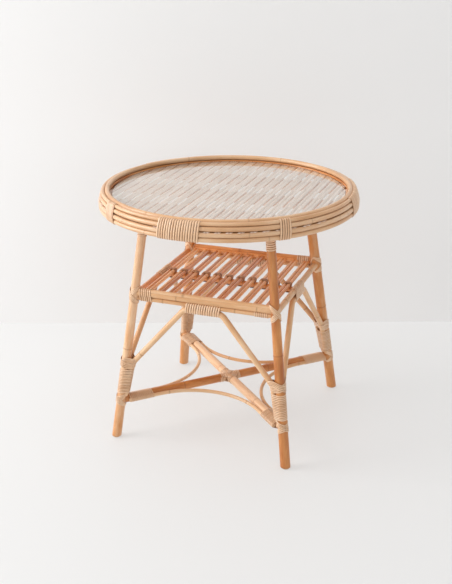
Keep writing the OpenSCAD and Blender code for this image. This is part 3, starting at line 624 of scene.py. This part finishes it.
# ------------------------------------------------------------------
# deck: cross poles and pairs of split canes bent down over the core
# ------------------------------------------------------------------
for k, (nm, y) in enumerate((("deck_pole_front", -POLE_Y), ("deck_pole_middle", 0.0), ("deck_pole_back", POLE_Y))):
    pc = Piece("vis_" + nm)
    h = math.sqrt(CORE[0] ** 2 - y * y) - 9.0
    tube(pc, np.array([[x, y, POLE_Z] for x in np.linspace(-h, h, 60)]), POLE_R - 0.05, 70 + k * 2.3, seg=28, step=8, node_gap=230, ridge=0.35, tone=0.5 + 0.1 * k)
    pc.build(M_POLE, replaces=[nm])


def half_cane(pc, P, Nn, La, w, t, seed, tone):
    """Split cane: flat below, crowned above; w is its width at each ring."""
    q = np.array([-1.0, -0.97, -0.82, -0.55, -0.28, 0.0, 0.28, 0.55, 0.82, 0.97, 1.0, 0.85, -0.85])
    h = np.array([0.05, 0.30, 0.60, 0.84, 0.96, 1.0, 0.96, 0.84, 0.60, 0.30, 0.05, 0.0, 0.0])
    s = arclen(P)
    total = s[-1]
    nd = np.zeros(len(s))
    x = 60 + 140 * hash01(seed, 5)
    while x < total:
        nd = np.maximum(nd, np.exp(-((s - x) / 2.4) ** 2))
        x += 190 + 60 * hash01(seed, x)
    t = np.asarray(t, float) * np.ones(len(s))
    hh = t * (1 + 0.05 * nd)
    ring = P[:, None, :] + La[:, None, :] * (q[None, :, None] * (w / 2)[:, None, None]) + Nn[:, None, :] * (h[None, :, None] * hh[:, None, None])
    gr = np.stack([q[None, :] * w[:, None] / 2, h[None, :] * t[:, None], np.repeat(s[:, None], len(q), 1)], -1)
    gr = gr + np.array([31.0 * hash01(seed, 1), 57.0 * hash01(seed, 2), 700.0 * hash01(seed, 3)])
    idx = pc.grid(ring, gr, np.repeat(nd[:, None], len(q), 1), tone, 0.0)
    pc.fan(idx[0], False)
    pc.fan(idx[-1], True)


pc = Piece("vis_deck_split_canes")
for i in range(24):
    for sgn in (-1, 1):
        x = (i - 11.5) * 22.0 + sgn * 4.55
        x += 0.35 * (hash01(i, sgn + 3.0) - 0.5)
        xe = abs(x)
        pts = []
        # half profile from the middle to the end, over the core pole
        # half profile from the middle outward: flat, over the core pole, out between the second and third hoop
        prof = [(CORE[0] - 1.0, 556.52)] + [(CORE[0] + 10.03 * math.sin(math.radians(g)), CORE[1] + 10.03 * math.cos(math.radians(g))) for g in (3, 9, 15, 21, 27, 33)]
        prof += [(CORE[0] + 7.6, 554.35), (CORE[0] + 10.5, 554.27), (CORE[0] + 14.0, 554.27), (CORE[0] + 19.0, 554.27)]
        ys = list(np.linspace(0, math.sqrt((CORE[0] - 1.0) ** 2 - xe * xe), 16)[:-1])
        rr = np.unique(np.concatenate([np.linspace(CORE[0] - 1.0, CORE[0] + 19.0, 28)]))
        for rho in rr:
            if rho > xe:
                ys.append(math.sqrt(rho * rho - xe * xe))
        ys = np.unique(np.array(ys))
        rho = np.sqrt(ys * ys + xe * xe)
        z = np.where(rho <= CORE[0], DECK_Z + 0.02, np.interp(rho, [q[0] for q in prof], [q[1] for q in prof]))
        Y = np.concatenate([-ys[::-1], ys[1:]])
        Z = np.concatenate([z[::-1], z[1:]])
        # a few ends at the front left are cut short and stay hidden behind the hoops
        keep = (Y > 0) | (np.hypot(Y, x) < CORE[0] + (11.0 if -190 < x < -60 else 20.0))
        Y, Z = Y[keep], Z[keep]
        over = np.clip((np.sqrt(Y * Y + x * x) - CORE[0] + 1) / 9.0, 0, 1)
        over = over * over * (3 - 2 * over)
        P = np.stack([x - sgn * 1.6 * over, Y, Z], 1)
        T = unit(np.gradient(P, axis=0))
        La = np.tile(np.array([1.0, 0, 0]), (len(Y), 1))
        Nn = unit(np.cross(La, T))
        Nn = Nn * np.sign(Nn[:, 2:3] + 1e-6)
        w = 8.8 * (1 - 0.348 * over)
        half_cane(pc, P, Nn, La, w, 2.55 * (1 - 0.58 * over), 100 + i * 2 + sgn * 0.5, hash01(i, sgn, 8.0))
pc.build(M_SPLIT, replaces=["deck_split_canes"])

# ------------------------------------------------------------------
# glass: a disc with ground, rounded edges
# ------------------------------------------------------------------
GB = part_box("glass_top")
g_r = GB[1][0] * 1000
g_z0, g_z1 = GB[0][2] * 1000, GB[1][2] * 1000
prof = [(0.0, g_z0), (g_r - 1.2, g_z0)]
for a in np.linspace(-90, 90, 9):
    rr = 1.2
    cz = g_z0 + rr if a <= 0 else g_z1 - rr
    prof.append((g_r - rr + rr * math.cos(math.radians(a)), cz + rr * math.sin(math.radians(a))))
prof += [(g_r - 1.2, g_z1), (0.0, g_z1)]
pr = [prof[1]] + [p for p in prof[2:-2]] + [prof[-2]]
pr = [p for i, p in enumerate(pr) if i == 0 or abs(p[0] - pr[i - 1][0]) + abs(p[1] - pr[i - 1][1]) > 1e-4]
nseg = 192
verts, faces = [], []
for (R, z) in pr:
    for j in range(nseg):
        a = 2 * math.pi * j / nseg
        verts.append((R * math.cos(a) * 0.001, R * math.sin(a) * 0.001, z * 0.001))
m = len(pr)
for i in range(m - 1):
    for j in range(nseg):
        j2 = (j + 1) % nseg
        faces.append((i * nseg + j, i * nseg + j2, (i + 1) * nseg + j2, (i + 1) * nseg + j))
faces.append(tuple(range(nseg))[::-1])
faces.append(tuple((m - 1) * nseg + j for j in range(nseg)))
me = bpy.data.meshes.new("vis_glass_top")
me.from_pydata(verts, [], faces)
me.materials.append(M_GLASS)
me.polygons.foreach_set("use_smooth", np.array([len(p) == 4 for p in faces], dtype=bool))
me.update()
glass_ob = bpy.data.objects.new("vis_glass_top", me)
bpy.context.scene.collection.objects.link(glass_ob)
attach(glass_ob, "glass")
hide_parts("glass_top")

# ------------------------------------------------------------------
# shelf
# ------------------------------------------------------------------
def straight(a, b, n=40):
    return np.linspace(np.asarray(a, float), np.asarray(b, float), n)


hx = RAIL_Y - 6.5
for k, (nm, y) in enumerate((("shelf_rail_front", -RAIL_Y), ("shelf_rail_back", RAIL_Y))):
    pc = Piece("vis_" + nm)
    tube(pc, straight((-hx, y, RAIL_Z), (hx, y, RAIL_Z)), RAIL_R - 0.05, 130 + k * 1.9, seg=24, node_gap=210, node_first=[96, 150][k], tone=0.45 + 0.2 * k, bend=0.12)
    pc.build([M_CANE, M_SLAT][k], replaces=[nm])
for k, (nm, y) in enumerate((("shelf_under_cane_front", -RAIL_Y), ("shelf_under_cane_back", RAIL_Y))):
    pc = Piece("vis_" + nm)
    tube(pc, straight((-hx, y, UNDER_Z), (hx, y, UNDER_Z)), UNDER_R - 0.05, 140 + k * 1.9, seg=18, node_gap=190, tone=0.55, bend=0.1)
    pc.build(M_CANE, replaces=[nm])
for k, (nm, y) in enumerate((("shelf_cover_front", -RAIL_Y), ("shelf_cover_back", RAIL_Y))):
    pc = Piece("vis_" + nm)
    n = 60
    P = straight((-hx - 3, y, RAIL_Z + RAIL_R - 2.4), (hx + 3, y, RAIL_Z + RAIL_R - 2.4), n)
    La = np.tile(np.array([0, 1.0, 0]), (n, 1))
    Nn = np.tile(np.array([0, 0, 1.0]), (n, 1))
    half_cane(pc, P, Nn, La, np.full(n, 12.0), 6.3, 150 + k, 0.3 + 0.5 * k)
    pc.build([M_CANE, M_SLAT][k], replaces=[nm])
hs = SIDE_X - 6.5
for k, (nm, x) in enumerate((("shelf_rail_left", -SIDE_X), ("shelf_rail_right", SIDE_X))):
    pc = Piece("vis_" + nm)
    tube(pc, straight((x, -hs, SIDE_Z), (x, hs, SIDE_Z)), SIDE_R - 0.05, 160 + k * 2.2, seg=24, node_gap=230, tone=0.6 - 0.05 * k, bend=0.1)
    pc.build(M_SLAT if k == 0 else M_CANE, replaces=[nm])
pc = Piece("vis_shelf_middle_bar")
tube(pc, straight((-SIDE_X + 5, 0, MID_Z), (SIDE_X - 5, 0, MID_Z)), MID_R - 0.05, 171, seg=22, node_gap=220, tone=0.55)
pc.build(M_SLAT, replaces=["shelf_middle_bar"])

pc = Piece("vis_shelf_slats")
pl = Piece("vis_slat_lashings")
ys = RAIL_Y - 4.0
for i in range(SLAT_N):
    base = (i - (SLAT_N - 1) / 2) * SLAT_PITCH
    for sgn in (-1, 1):
        x = base + sgn * (SLAT_R + 0.05)
        y = np.linspace(-ys, ys, 60)
        env = np.cos(math.pi * y / (2 * ys)) ** 0.5 * np.clip(abs(y) / 30.0, 0, 1)
        dx = 0.55 * env * (wave(y + 200, 5.5 + i * 1.7, 70)) + 0.3 * sgn * env * hash01(i, 7.0)
        dz = -0.35 * env * abs(wave(y + 300, 9.5 + i + sgn, 70))
        P = np.stack([x + dx, y, SLAT_Z + dz], 1)
        tube(pc, P, SLAT_R - 0.08, 200 + i * 2.6 + sgn, seg=14, step=8, node_gap=185, ridge=0.22, lump=0.03)
    # lash over the pair and under the middle bar: three turns of peel
    for k, dy in enumerate((-4.3, 0.0, 4.3)):
        n = 40
        circ_top = [(-SLAT_R - 0.05, SLAT_Z, SLAT_R), (SLAT_R + 0.05, SLAT_Z, SLAT_R)]
        pts = np.concatenate([np.stack([c[0] + c[2] * np.cos(TH), c[1] + c[2] * np.sin(TH)], 1) for c in circ_top] +
                             [np.array([[-5.5, MID_Z - 5.2], [5.5, MID_Z - 5.2]])])
        H = hull2(pts)
        H = np.concatenate([H, H[:1]])
        LL = arclen(np.pad(H, ((0, 0), (0, 1))))
        t = np.linspace(0, LL[-1], 64)
        X, Z = np.interp(t, LL, H[:, 0]), np.interp(t, LL, H[:, 1])
        low = np.clip((Z - (MID_Z - MID_R)) / 14.0, 0, 1)
        Yv = dy * (0.25 + 0.75 * low) * 1.0
        # strands hug the round bar underneath
        zz = np.where(Z < MID_Z, MID_Z - np.sqrt(np.clip((MID_R + 0.1) ** 2 - (dy * 0.8) ** 2, 1, 99)) * np.clip((MID_Z - Z) / 5.2, 0, 1), Z)
        P = np.stack([base + X, dy + 0 * X, zz], 1)
        T = unit(np.gradient(P, axis=0))
        La = np.tile(np.array([0, 1.0, 0]), (len(P), 1))
        Nn = unit(np.cross(T, La))
        cen = np.array([base, dy, (SLAT_Z + MID_Z) / 2])
        Nn = Nn * np.sign(np.sum((P - cen) * Nn, 1).mean())
        band(pl, P + Nn * 0.1, Nn, La, 4.2, 1.0, 300 + i * 3 + k, hash01(i, k, 4.0))
pc.build(M_SLAT, replaces=["shelf_slats"])
pl.build(M_BIND_D, replaces=["slat_lashings"])

# ------------------------------------------------------------------
# arch braces: bent canes in the planes of the legs
# ------------------------------------------------------------------
def rounded(pts, radii, step=3.0):
    """Polyline in a plane with rounded corners."""
    pts = [np.asarray(p, float) for p in pts]
    out = [pts[0]]
    for i in range(1, len(pts) - 1):
        a, b, c = pts[i - 1], pts[i], pts[i + 1]
        u, v = unit(a - b), unit(c - b)
        ang = math.acos(np.clip(np.dot(u, v), -1, 1))
        d = radii[i] / math.tan(ang / 2)
        p0, p1 = b + u * d, b + v * d
        n = max(4, int(radii[i] * (math.pi - ang) / step))
        bis = unit(u + v)
        m = b + bis * (radii[i] / math.sin(ang / 2))
        for t in np.linspace(0, 1, n + 1):
            w = (1 - t) * (p0 - m) + t * (p1 - m)
            out.append(m + unit(w) * radii[i])
    out.append(pts[-1])
    dense = [out[0]]
    for a, b in zip(out[:-1], out[1:]):
        n = max(1, int(np.linalg.norm(b - a) / 6.0))
        for t in np.linspace(0, 1, n + 1)[1:]:
            dense.append(a + (b - a) * t)
    return np.array(dense)


def side_pt(turn, s, z, push=0.0):
    """Point in a leg plane: s along the side, z height, push outward."""
    y = -leg_s(z) - push
    a = math.radians(turn)
    return np.array([s * math.cos(a) - y * math.sin(a), s * math.sin(a) + y * math.cos(a), z])


def brace2d():
    return rounded([(-TAIL[0], TAIL[1]), (-KNEE[0], KNEE[1]), (-TOPC[0], TOPC[1]), TOPC, KNEE, TAIL], [0, 34, 20, 20, 34, 0])


BRACES = (("arch_brace_front", 0, 0.25), ("arch_brace_right", 90, 0.45), ("arch_brace_back", 180, 0.7), ("arch_brace_left", 270, 0.7))
for k, (nm, turn, tone) in enumerate(BRACES):
    pc = Piece("vis_" + nm)
    P = np.array([side_pt(turn, p[0], p[1]) for p in brace2d()])
    tube(pc, P, BR_R - 0.05, 330 + k * 3.1, seg=22, step=5, node_gap=205, node_first=[118, 92, 130, 105][k], ridge=0.3, tone=tone, taper0=(16, 0.6), taper1=(16, 0.6), bend=0.15)
    pc.build(M_CANE, replaces=[nm])

# ------------------------------------------------------------------
# cross stretcher and its bent canes
# ------------------------------------------------------------------
ARM = leg_s(ST_Z) * math.sqrt(2) - 7.5
for k, (nm, ang, lift) in enumerate((("stretcher_pole_a", 45, 0.0), ("stretcher_pole_b", 135, 0.0))):
    pc = Piece("vis_" + nm)
    d = np.array([math.cos(math.radians(ang)), math.sin(math.radians(ang)), 0])
    P = np.array([d * t + np.array([0, 0, ST_Z]) for t in np.linspace(-ARM, ARM, 90)])
    tube(pc, P, ST_R - 0.05, 350 + k * 4.7, seg=26, step=7, node_gap=225, node_first=[150, 120][k], ridge=0.36, tone=[0.85, -0.45][k])
    pc.build(M_POLE, replaces=[nm])

CANE_BIG = (CANE_APEX - CANE_OFF * math.sqrt(2)) / (math.sqrt(2) - 1)
q = math.sqrt(0.5)
E = (ARM_END * q + CANE_OFF * q, ARM_END * q - CANE_OFF * q)
for k, (nm, turn) in enumerate((("bent_cane_right", 0), ("bent_cane_back", 90), ("bent_cane_left", 180), ("bent_cane_front", 270))):
    pc = Piece("vis_" + nm)
    f = rounded([(E[0], -E[1]), (CANE_OFF * math.sqrt(2), 0.0), E], [0, CANE_BIG, 0], 6)
    a = math.radians(turn)
    R2 = np.array([[math.cos(a), -math.sin(a)], [math.sin(a), math.cos(a)]])
    f2 = f @ R2.T
    P = np.concatenate([f2, np.full((len(f2), 1), ST_Z)], 1)
    tube(pc, P, CANE_R - 0.03, 370 + k * 2.7, seg=16, step=5, node_gap=200, ridge=0.24, tone=[0.5, 0.55, 0.35, 0.2][k], start=(0, 0, 1), bend=0.1)
    pc.build(M_CANE, replaces=[nm])


# ------------------------------------------------------------------
# bindings on the legs
# ------------------------------------------------------------------
def brace_s(z):
    if z <= KNEE[1]:
        t = (z - TAIL[1]) / (KNEE[1] - TAIL[1])
        return TAIL[0] + (KNEE[0] - TAIL[0]) * t
    t = (z - KNEE[1]) / (TOPC[1] - KNEE[1])
    return KNEE[0] + (TOPC[0] - KNEE[0]) * t


def leg_bundle(c, with_braces, smin, smax):
    o = unit(np.array([c[0], c[1], 0.0]))
    t = np.array([-o[1], o[0], 0.0])
    ax = -LEAN * math.sqrt(2)

    def circles(z):
        L = leg_s(z) * math.sqrt(2)
        out = [(L, 0.0, leg_r(c, z))]
        if with_braces and z > TAIL[1] - 4:
            bs = brace_s(z)
            ls = leg_s(z)
            for (bx, by) in ((c[0] * bs, c[1] * ls), (c[0] * ls, c[1] * bs)):
                out.append((bx * o[0] + by * o[1], bx * t[0] + by * t[1], BR_R))
        return out
    return Bundle((0, 0, 0), (0, 0, 1), o, t, circles, smin, smax, 26)


p_top = Piece("vis_leg_top_bindings")
p_sc = Piece("vis_shelf_corner_bindings")
p_bf = Piece("vis_brace_foot_bindings")
p_lw = Piece("vis_leg_wrappings")
p_st = Piece("vis_stretcher_corner_bindings")
for k, c in enumerate(CORNERS):
    plain = leg_bundle(c, False, 60, 545)
    # round the leg under the deck pole
    plain.wind(p_top, 484, 526, 4.6, 3.95, 1.05, 400 + k * 31, a0=2.0)
    # shelf corner: crossed lashes over the leg, past the rails above and below
    for d in range(4):
        o = (d - 1.5) * 3.9
        plain.loop(p_sc, [(0, 350 + o), (60, 350 + o + 11), (100, 365 + o * 0.5), (140, 369.5 + d * 0.8), (172, 356), (188, 344), (220, 331.5 - (3 - d) * 0.8),
                          (260, 335 + o * 0.5), (300, 350 + o - 11)], 3.05, 1.0, 500 + k * 31 + d, lift=0.0, turn=hash01(k, d, 1.0))
        plain.loop(p_sc, [(0, 350 + o), (60, 350 + o - 11), (100, 335 + o * 0.5), (140, 331.5 - (3 - d) * 0.8), (172, 344), (188, 356), (220, 369.5 + d * 0.8),
                          (260, 365 + o * 0.5), (300, 350 + o + 11)], 3.05, 1.0, 540 + k * 31 + d, lift=0.95, turn=hash01(k, d, 2.0))
    # leg with the tails of two braces
    full = leg_bundle(c, True, 96, 215)
    full.wind(p_lw, 113, 171, 3.9, 3.3, 1.0, 600 + k * 31, a0=3.0)
    low = leg_bundle(c, True, 96, 192)
    for d in range(4):
        o = (d - 1.5) * 4.1
        low.loop(p_bf, [(0, 188 + o), (55, 192.5 + o), (110, 195 + o * 0.8), (180, 187 + o * 0.7), (250, 180 + o * 0.8), (305, 183.5 + o)], 3.2, 1.0, 700 + k * 31 + d,
                 lift=0.0, turn=hash01(k, d, 3.0))
        low.loop(p_bf, [(0, 187 + o), (55, 182.5 + o), (110, 180 + o * 0.8), (180, 187 + o * 0.7), (250, 195 + o * 0.8), (305, 191.5 + o)], 3.2, 1.0, 740 + k * 31 + d,
                 lift=0.95, turn=hash01(k, d, 4.0))
    # stretcher corner: crossed lashes past the arm
    lowest = leg_bundle(c, False, 60, 140)
    for d in range(4):
        o = (d - 1.5) * 3.9
        lowest.loop(p_st, [(0, 97 + o), (60, 101 + o), (120, 108 + o * 0.5), (160, 112 + d * 0.6), (200, 100), (205, 84), (220, 80.5 - (3 - d) * 0.5), (300, 92 + o)],
                    3.05, 1.0, 800 + k * 31 + d, lift=0.0, turn=hash01(k, d, 5.0))
        lowest.loop(p_st, [(0, 97 + o), (60, 92 + o), (140, 80.5 - (3 - d) * 0.5), (155, 84), (160, 100), (200, 112 + d * 0.6), (240, 108 + o * 0.5), (300, 101 + o)],
                    3.05, 1.0, 840 + k * 31 + d, lift=0.95, turn=hash01(k, d, 6.0))
p_top.build(M_BIND, replaces=["leg_top_bindings"])
p_sc.build(M_BIND, replaces=["shelf_corner_bindings"])
p_bf.build(M_BIND, replaces=["brace_foot_bindings"])
p_lw.build(M_BIND, replaces=["leg_wrappings"])
p_st.build(M_BIND, replaces=["stretcher_corner_bindings"])

# ------------------------------------------------------------------
# bindings on the rails, the arch tops, the stretcher arms and the cross
# ------------------------------------------------------------------
p_re = Piece("vis_rail_end_bindings")
for y, sg in ((-RAIL_Y, -1), (RAIL_Y, 1)):
    full = Bundle((0, y, 0), (1, 0, 0), (0, 1, 0), (0, 0, 1), lambda s: [(0, RAIL_Z, RAIL_R), (0, UNDER_Z, UNDER_R), (0, RAIL_Z + 5.4, 6.0)], -170, 170, 4)
    under = Bundle((0, y, 0), (1, 0, 0), (0, 1, 0), (0, 0, 1), lambda s: [(0, UNDER_Z, UNDER_R)], -170, 170, 4)
    a = (-151, -121) if sg < 0 else (121, 151)
    b = (119, 151) if sg < 0 else (-151, -119)
    full.wind(p_re, a[0], a[1], 4.7, 4.0, 1.0, 900 + sg * 7, a0=math.pi / 2 if sg < 0 else math.pi / 2)
    under.wind(p_re, b[0], b[1], 4.7, 4.0, 1.0, 930 + sg * 7, a0=math.pi / 2)
p_re.build(M_BIND, replaces=["rail_end_bindings"])

p_at = Piece("vis_arch_top_bindings")
for k, turn in enumerate((0, 90, 180, 270)):
    a = math.radians(turn)
    U = np.array([math.cos(a), math.sin(a), 0])
    out = np.array([math.sin(a), -math.cos(a), 0])
    sy = leg_s(TOPC[1])
    if turn in (0, 180):
        circ = lambda s: [(RAIL_Y, UNDER_Z, UNDER_R), (sy, TOPC[1], BR_R)]
        half = 41.0
    else:
        circ = lambda s: [(SIDE_X, SIDE_Z, SIDE_R), (sy, TOPC[1], BR_R)]
        half = 33.0
    bd = Bundle((0, 0, 0), U, out, (0, 0, 1), circ, -60, 60, 4)
    bd.wind(p_at, -half, half, 5.5, 4.65, 1.15, 960 + k * 13, a0=math.pi * 0.9)
p_at.build(M_BIND, replaces=["arch_top_bindings"])

p_ar = Piece("vis_stretcher_arm_bindings")
for k, ang in enumerate((45, 135, 225, 315)):
    a = math.radians(ang)
    U = np.array([math.cos(a), math.sin(a), 0])
    V = np.array([-math.sin(a), math.cos(a), 0])
    bd = Bundle((0, 0, 0), U, V, (0, 0, 1), lambda s: [(0, ST_Z, ST_R), (CANE_OFF, ST_Z, CANE_R), (-CANE_OFF, ST_Z, CANE_R)], 190, 290, 4)
    bd.wind(p_ar, 203, ARM_END - 1, 4.2, 3.5, 1.05, 990 + k * 17, a0=math.pi * 1.5)
p_ar.build(M_BIND, replaces=["stretcher_arm_bindings"])

p_cx = Piece("vis_stretcher_cross_lashing")
for k, ang in enumerate((45, 135, 225, 315)):
    a = math.radians(ang)
    U = np.array([math.cos(a), math.sin(a), 0])
    V = np.array([-math.sin(a), math.cos(a), 0])
    bd = Bundle((0, 0, 0), U, V, (0, 0, 1), lambda s: [(0, ST_Z, ST_R)], 0, 60, 4)
    bd.wind(p_cx, 10.5, 26, 3.9, 3.3, 1.0, 1040 + k * 11, a0=0.5)
# diagonal strands over and under the crossing
for k, (ang, zs) in enumerate(((0, 1), (90, 1), (0, -1), (90, -1))):
    for d in range(3):
        off = (d - 1) * 4.0
        a = math.radians(ang)
        U = np.array([math.cos(a), math.sin(a), 0])
        V = np.array([-math.sin(a), math.cos(a), 0])
        t = np.linspace(-1, 1, 40)
        x = t * 17.5
        zc = ST_Z + zs * (ST_R + 0.2 + (0.9 if ang == 90 else 0.0)) * np.sqrt(np.clip(1 - (abs(t) ** 3) * 0.85, 0, 1))
        P = U * x[:, None] + V * off + np.stack([0 * t, 0 * t, zc], 1)
        T = unit(np.gradient(P, axis=0))
        La = np.tile(V, (len(P), 1))
        Nn = unit(np.cross(T, La))
        Nn = Nn * np.sign(Nn[len(P) // 2, 2] * zs)
        band(p_cx, P, Nn, La, 3.8, 1.0, 1100 + k * 7 + d, hash01(k, d, 9.0))
p_cx.build(M_BIND, replaces=["stretcher_cross_lashing"])

# rim bindings: strands over the hoops, tucked in under the bead
def arc(c, r, a0, a1, n):
    return [(c[0] + r * math.cos(math.radians(a)), c[1] + r * math.sin(math.radians(a))) for a in np.linspace(a0, a1, n)]


g = 0.12
outline = np.array(arc(HOOPS[0][:2], HOOPS[0][2] + g, 150, 21, 14) + arc(HOOPS[1][:2], HOOPS[1][2] + g, 20.5, 14, 3) + arc(HOOPS[2][:2], HOOPS[2][2] + g, 13, -1, 3) +
                   arc(HOOPS[3][:2], HOOPS[3][2] + g, -2, -100.7, 10) + arc(CORE[:2], CORE[2] + g, -101, -200, 12))
o3 = np.pad(outline, ((0, 0), (0, 1)))
LL = arclen(o3)
tt = np.linspace(0, LL[-1], 84)
OR, OZ = np.interp(tt, LL, outline[:, 0]), np.interp(tt, LL, outline[:, 1])
OR, OZ = [smooth_rows(x[:, None], 2)[:, 0] for x in (OR, OZ)]
dR, dZ = np.gradient(OR), np.gradient(OZ)
nl = np.hypot(dR, dZ)
nR, nZ = -dZ / nl, dR / nl
if np.mean(nR * (OR - 285) + nZ * (OZ - 553)) < 0:
    nR, nZ = -nR, -nZ
p_rb = Piece("vis_rim_bindings")
BIND_AT = [(13, 34, 0.4), (100, 5, 0.5), (146, 18, 0.3), (230, 7, -0.9), (269, 18.2, 0.5), (313, 5, 0.4)]
for k, (mid, wide, slant) in enumerate(BIND_AT):
    pitch = 5.5
    arc_mm = math.radians(wide) * 293
    turns = int(round(arc_mm / pitch))
    for j in range(turns):
        a0 = mid - wide / 2 + (j + 0.5) * wide / turns
        jit = (hash01(k, j, 2.2) - 0.5) * 0.12 * wide / turns
        # the strand leans over the top hoops, then falls straight down the outside
        lean = np.clip(1 - tt / 34.0, -0.6, 1) * (wide / turns) * slant
        low = np.clip((tt - 60.0) / 45.0, 0, 1) * (wide / turns)
        ang = np.radians(a0 + jit + lean - low)
        P = np.stack([OR * np.cos(ang), OR * np.sin(ang), OZ], 1)
        Nn = np.stack([nR * np.cos(ang), nR * np.sin(ang), nZ], 1)
        T = unit(np.gradient(P, axis=0))
        Nn = unit(Nn - T * np.sum(Nn * T, 1)[:, None])
        band(p_rb, P, Nn, np.cross(Nn, T), 4.7, 1.15, 1200 + k * 29 + j, hash01(k, j, 5.0), crown=0.7)
p_rb.build(M_BIND, replaces=["rim_bindings"])

# ------------------------------------------------------------------
# fasteners keep their CAD shape
# ------------------------------------------------------------------
for nm in ("joint_nails", "cross_pin"):
    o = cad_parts[nm]
    for sl in o.material_slots:
        sl.material = M_STEEL
for c in CORNERS:
    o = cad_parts[LEG_NAME[c].replace("leg_", "foot_glide_")]
    for sl in o.material_slots:
        sl.material = M_GLIDE

# ------------------------------------------------------------------
# stage: pale floor running up into a pale wall
# ------------------------------------------------------------------
def stage_mat(name, col, rough, glow, one_sided=False):
    N = Nodes(name)
    tc = N.new("ShaderNodeTexCoord").outputs["Object"]
    n1 = N.noise(N.scale(tc, (1, 1, 1)), 1.3, 3.0, 0.6)
    b = N.new("ShaderNodeBsdfPrincipled")
    N.link(N.mix(N.range(n1, 0.3, 0.7, 0.0, 0.25), col, (col[0] * 0.975, col[1] * 0.972, col[2] * 0.97, 1)), b.inputs["Base Color"])
    b.inputs["Roughness"].default_value = rough
    b.inputs["Emission Color"].default_value = (1.0, 0.995, 0.985, 1)
    b.inputs["Emission Strength"].default_value = glow
    out = N.new("ShaderNodeOutputMaterial")
    if one_sided:
        # clear from behind, so the back of the table can be looked at
        t = N.new("ShaderNodeBsdfTransparent")
        mx = N.new("ShaderNodeMixShader")
        N.link(N.new("ShaderNodeNewGeometry").outputs["Backfacing"], mx.inputs[0])
        N.link(b.outputs["BSDF"], mx.inputs[1])
        N.link(t.outputs["BSDF"], mx.inputs[2])
        N.link(mx.outputs["Shader"], out.inputs["Surface"])
    else:
        N.link(b.outputs["BSDF"], out.inputs["Surface"])
    return N.m


bpy.ops.mesh.primitive_plane_add(size=1)
floor = bpy.context.object
floor.name = "stage_floor"
floor.scale = (14, 14, 1)
floor.location = (0, 0, -0.0005)
floor.data.materials.append(stage_mat("stage_floor", srgb(160, 160, 160), 0.6, 0.46))

AZ, EL, DIST = math.radians(20.17), math.radians(21.65), 2.2303
back = Vector((math.sin(AZ) * math.cos(EL), -math.cos(AZ) * math.cos(EL), math.sin(EL)))
right = Vector((math.cos(AZ), math.sin(AZ), 0))
T = right * -0.0070 + Vector((0, 0, 0.3145))
up = back.cross(right)
roll = math.radians(0.25)
right, up = right * math.cos(roll) - up * math.sin(roll), up * math.cos(roll) + right * math.sin(roll)
loc = T + back * DIST

bpy.ops.mesh.primitive_plane_add(size=1)
wall = bpy.context.object
wall.name = "stage_wall"
wall.scale = (14, 6, 1)
wall.rotation_euler = (math.pi / 2, 0, AZ)
wdir = Vector((-math.sin(AZ), math.cos(AZ), 0))
wall.location = wdir * 0.544 + Vector((0, 0, 2.9985))
wall.data.materials.append(stage_mat("stage_wall", srgb(236, 236, 236), 0.8, 0.065, True))

cam = bpy.data.cameras.new("camera")
cam.sensor_width = 36
cam.lens = 945.65 * 36 / 584
cam.clip_start = 0.05
co = bpy.data.objects.new("camera", cam)
co.matrix_world = Matrix(((right.x, up.x, back.x, loc.x), (right.y, up.y, back.y, loc.y), (right.z, up.z, back.z, loc.z), (0, 0, 0, 1)))
bpy.context.scene.collection.objects.link(co)
bpy.context.scene.camera = co


def area(name, pos, target, size, power, color=(1, 1, 1)):
    L = bpy.data.lights.new(name, "AREA")
    L.shape = "RECTANGLE"
    L.size, L.size_y = size
    L.energy = power
    L.color = color
    o = bpy.data.objects.new(name, L)
    o.location = pos
    d = Vector(target) - Vector(pos)
    o.rotation_euler = d.to_track_quat("-Z", "Y").to_euler()
    bpy.context.scene.collection.objects.link(o)
    return o


area("key", (-2.7, -1.1, 1.5), (0, 0, 0.28), (2.2, 2.0), 84, (1.0, 0.995, 0.985))
area("fill", (2.2, -2.6, 1.6), (0, 0, 0.3), (2.5, 2.0), 9, (1.0, 0.99, 0.98))
area("top", (-0.3, -0.6, 3.2), (0, 0, 0.2), (3.0, 3.0), 18, (1, 1, 1))

world = bpy.data.worlds.new("world")
bpy.context.scene.world = world
world.use_nodes = True
bg = world.node_tree.nodes["Background"]
bg.inputs[0].default_value = (1.0, 0.998, 0.995, 1)
bg.inputs[1].default_value = 0.56
bpy.context.scene.view_settings.view_transform = "Standard"
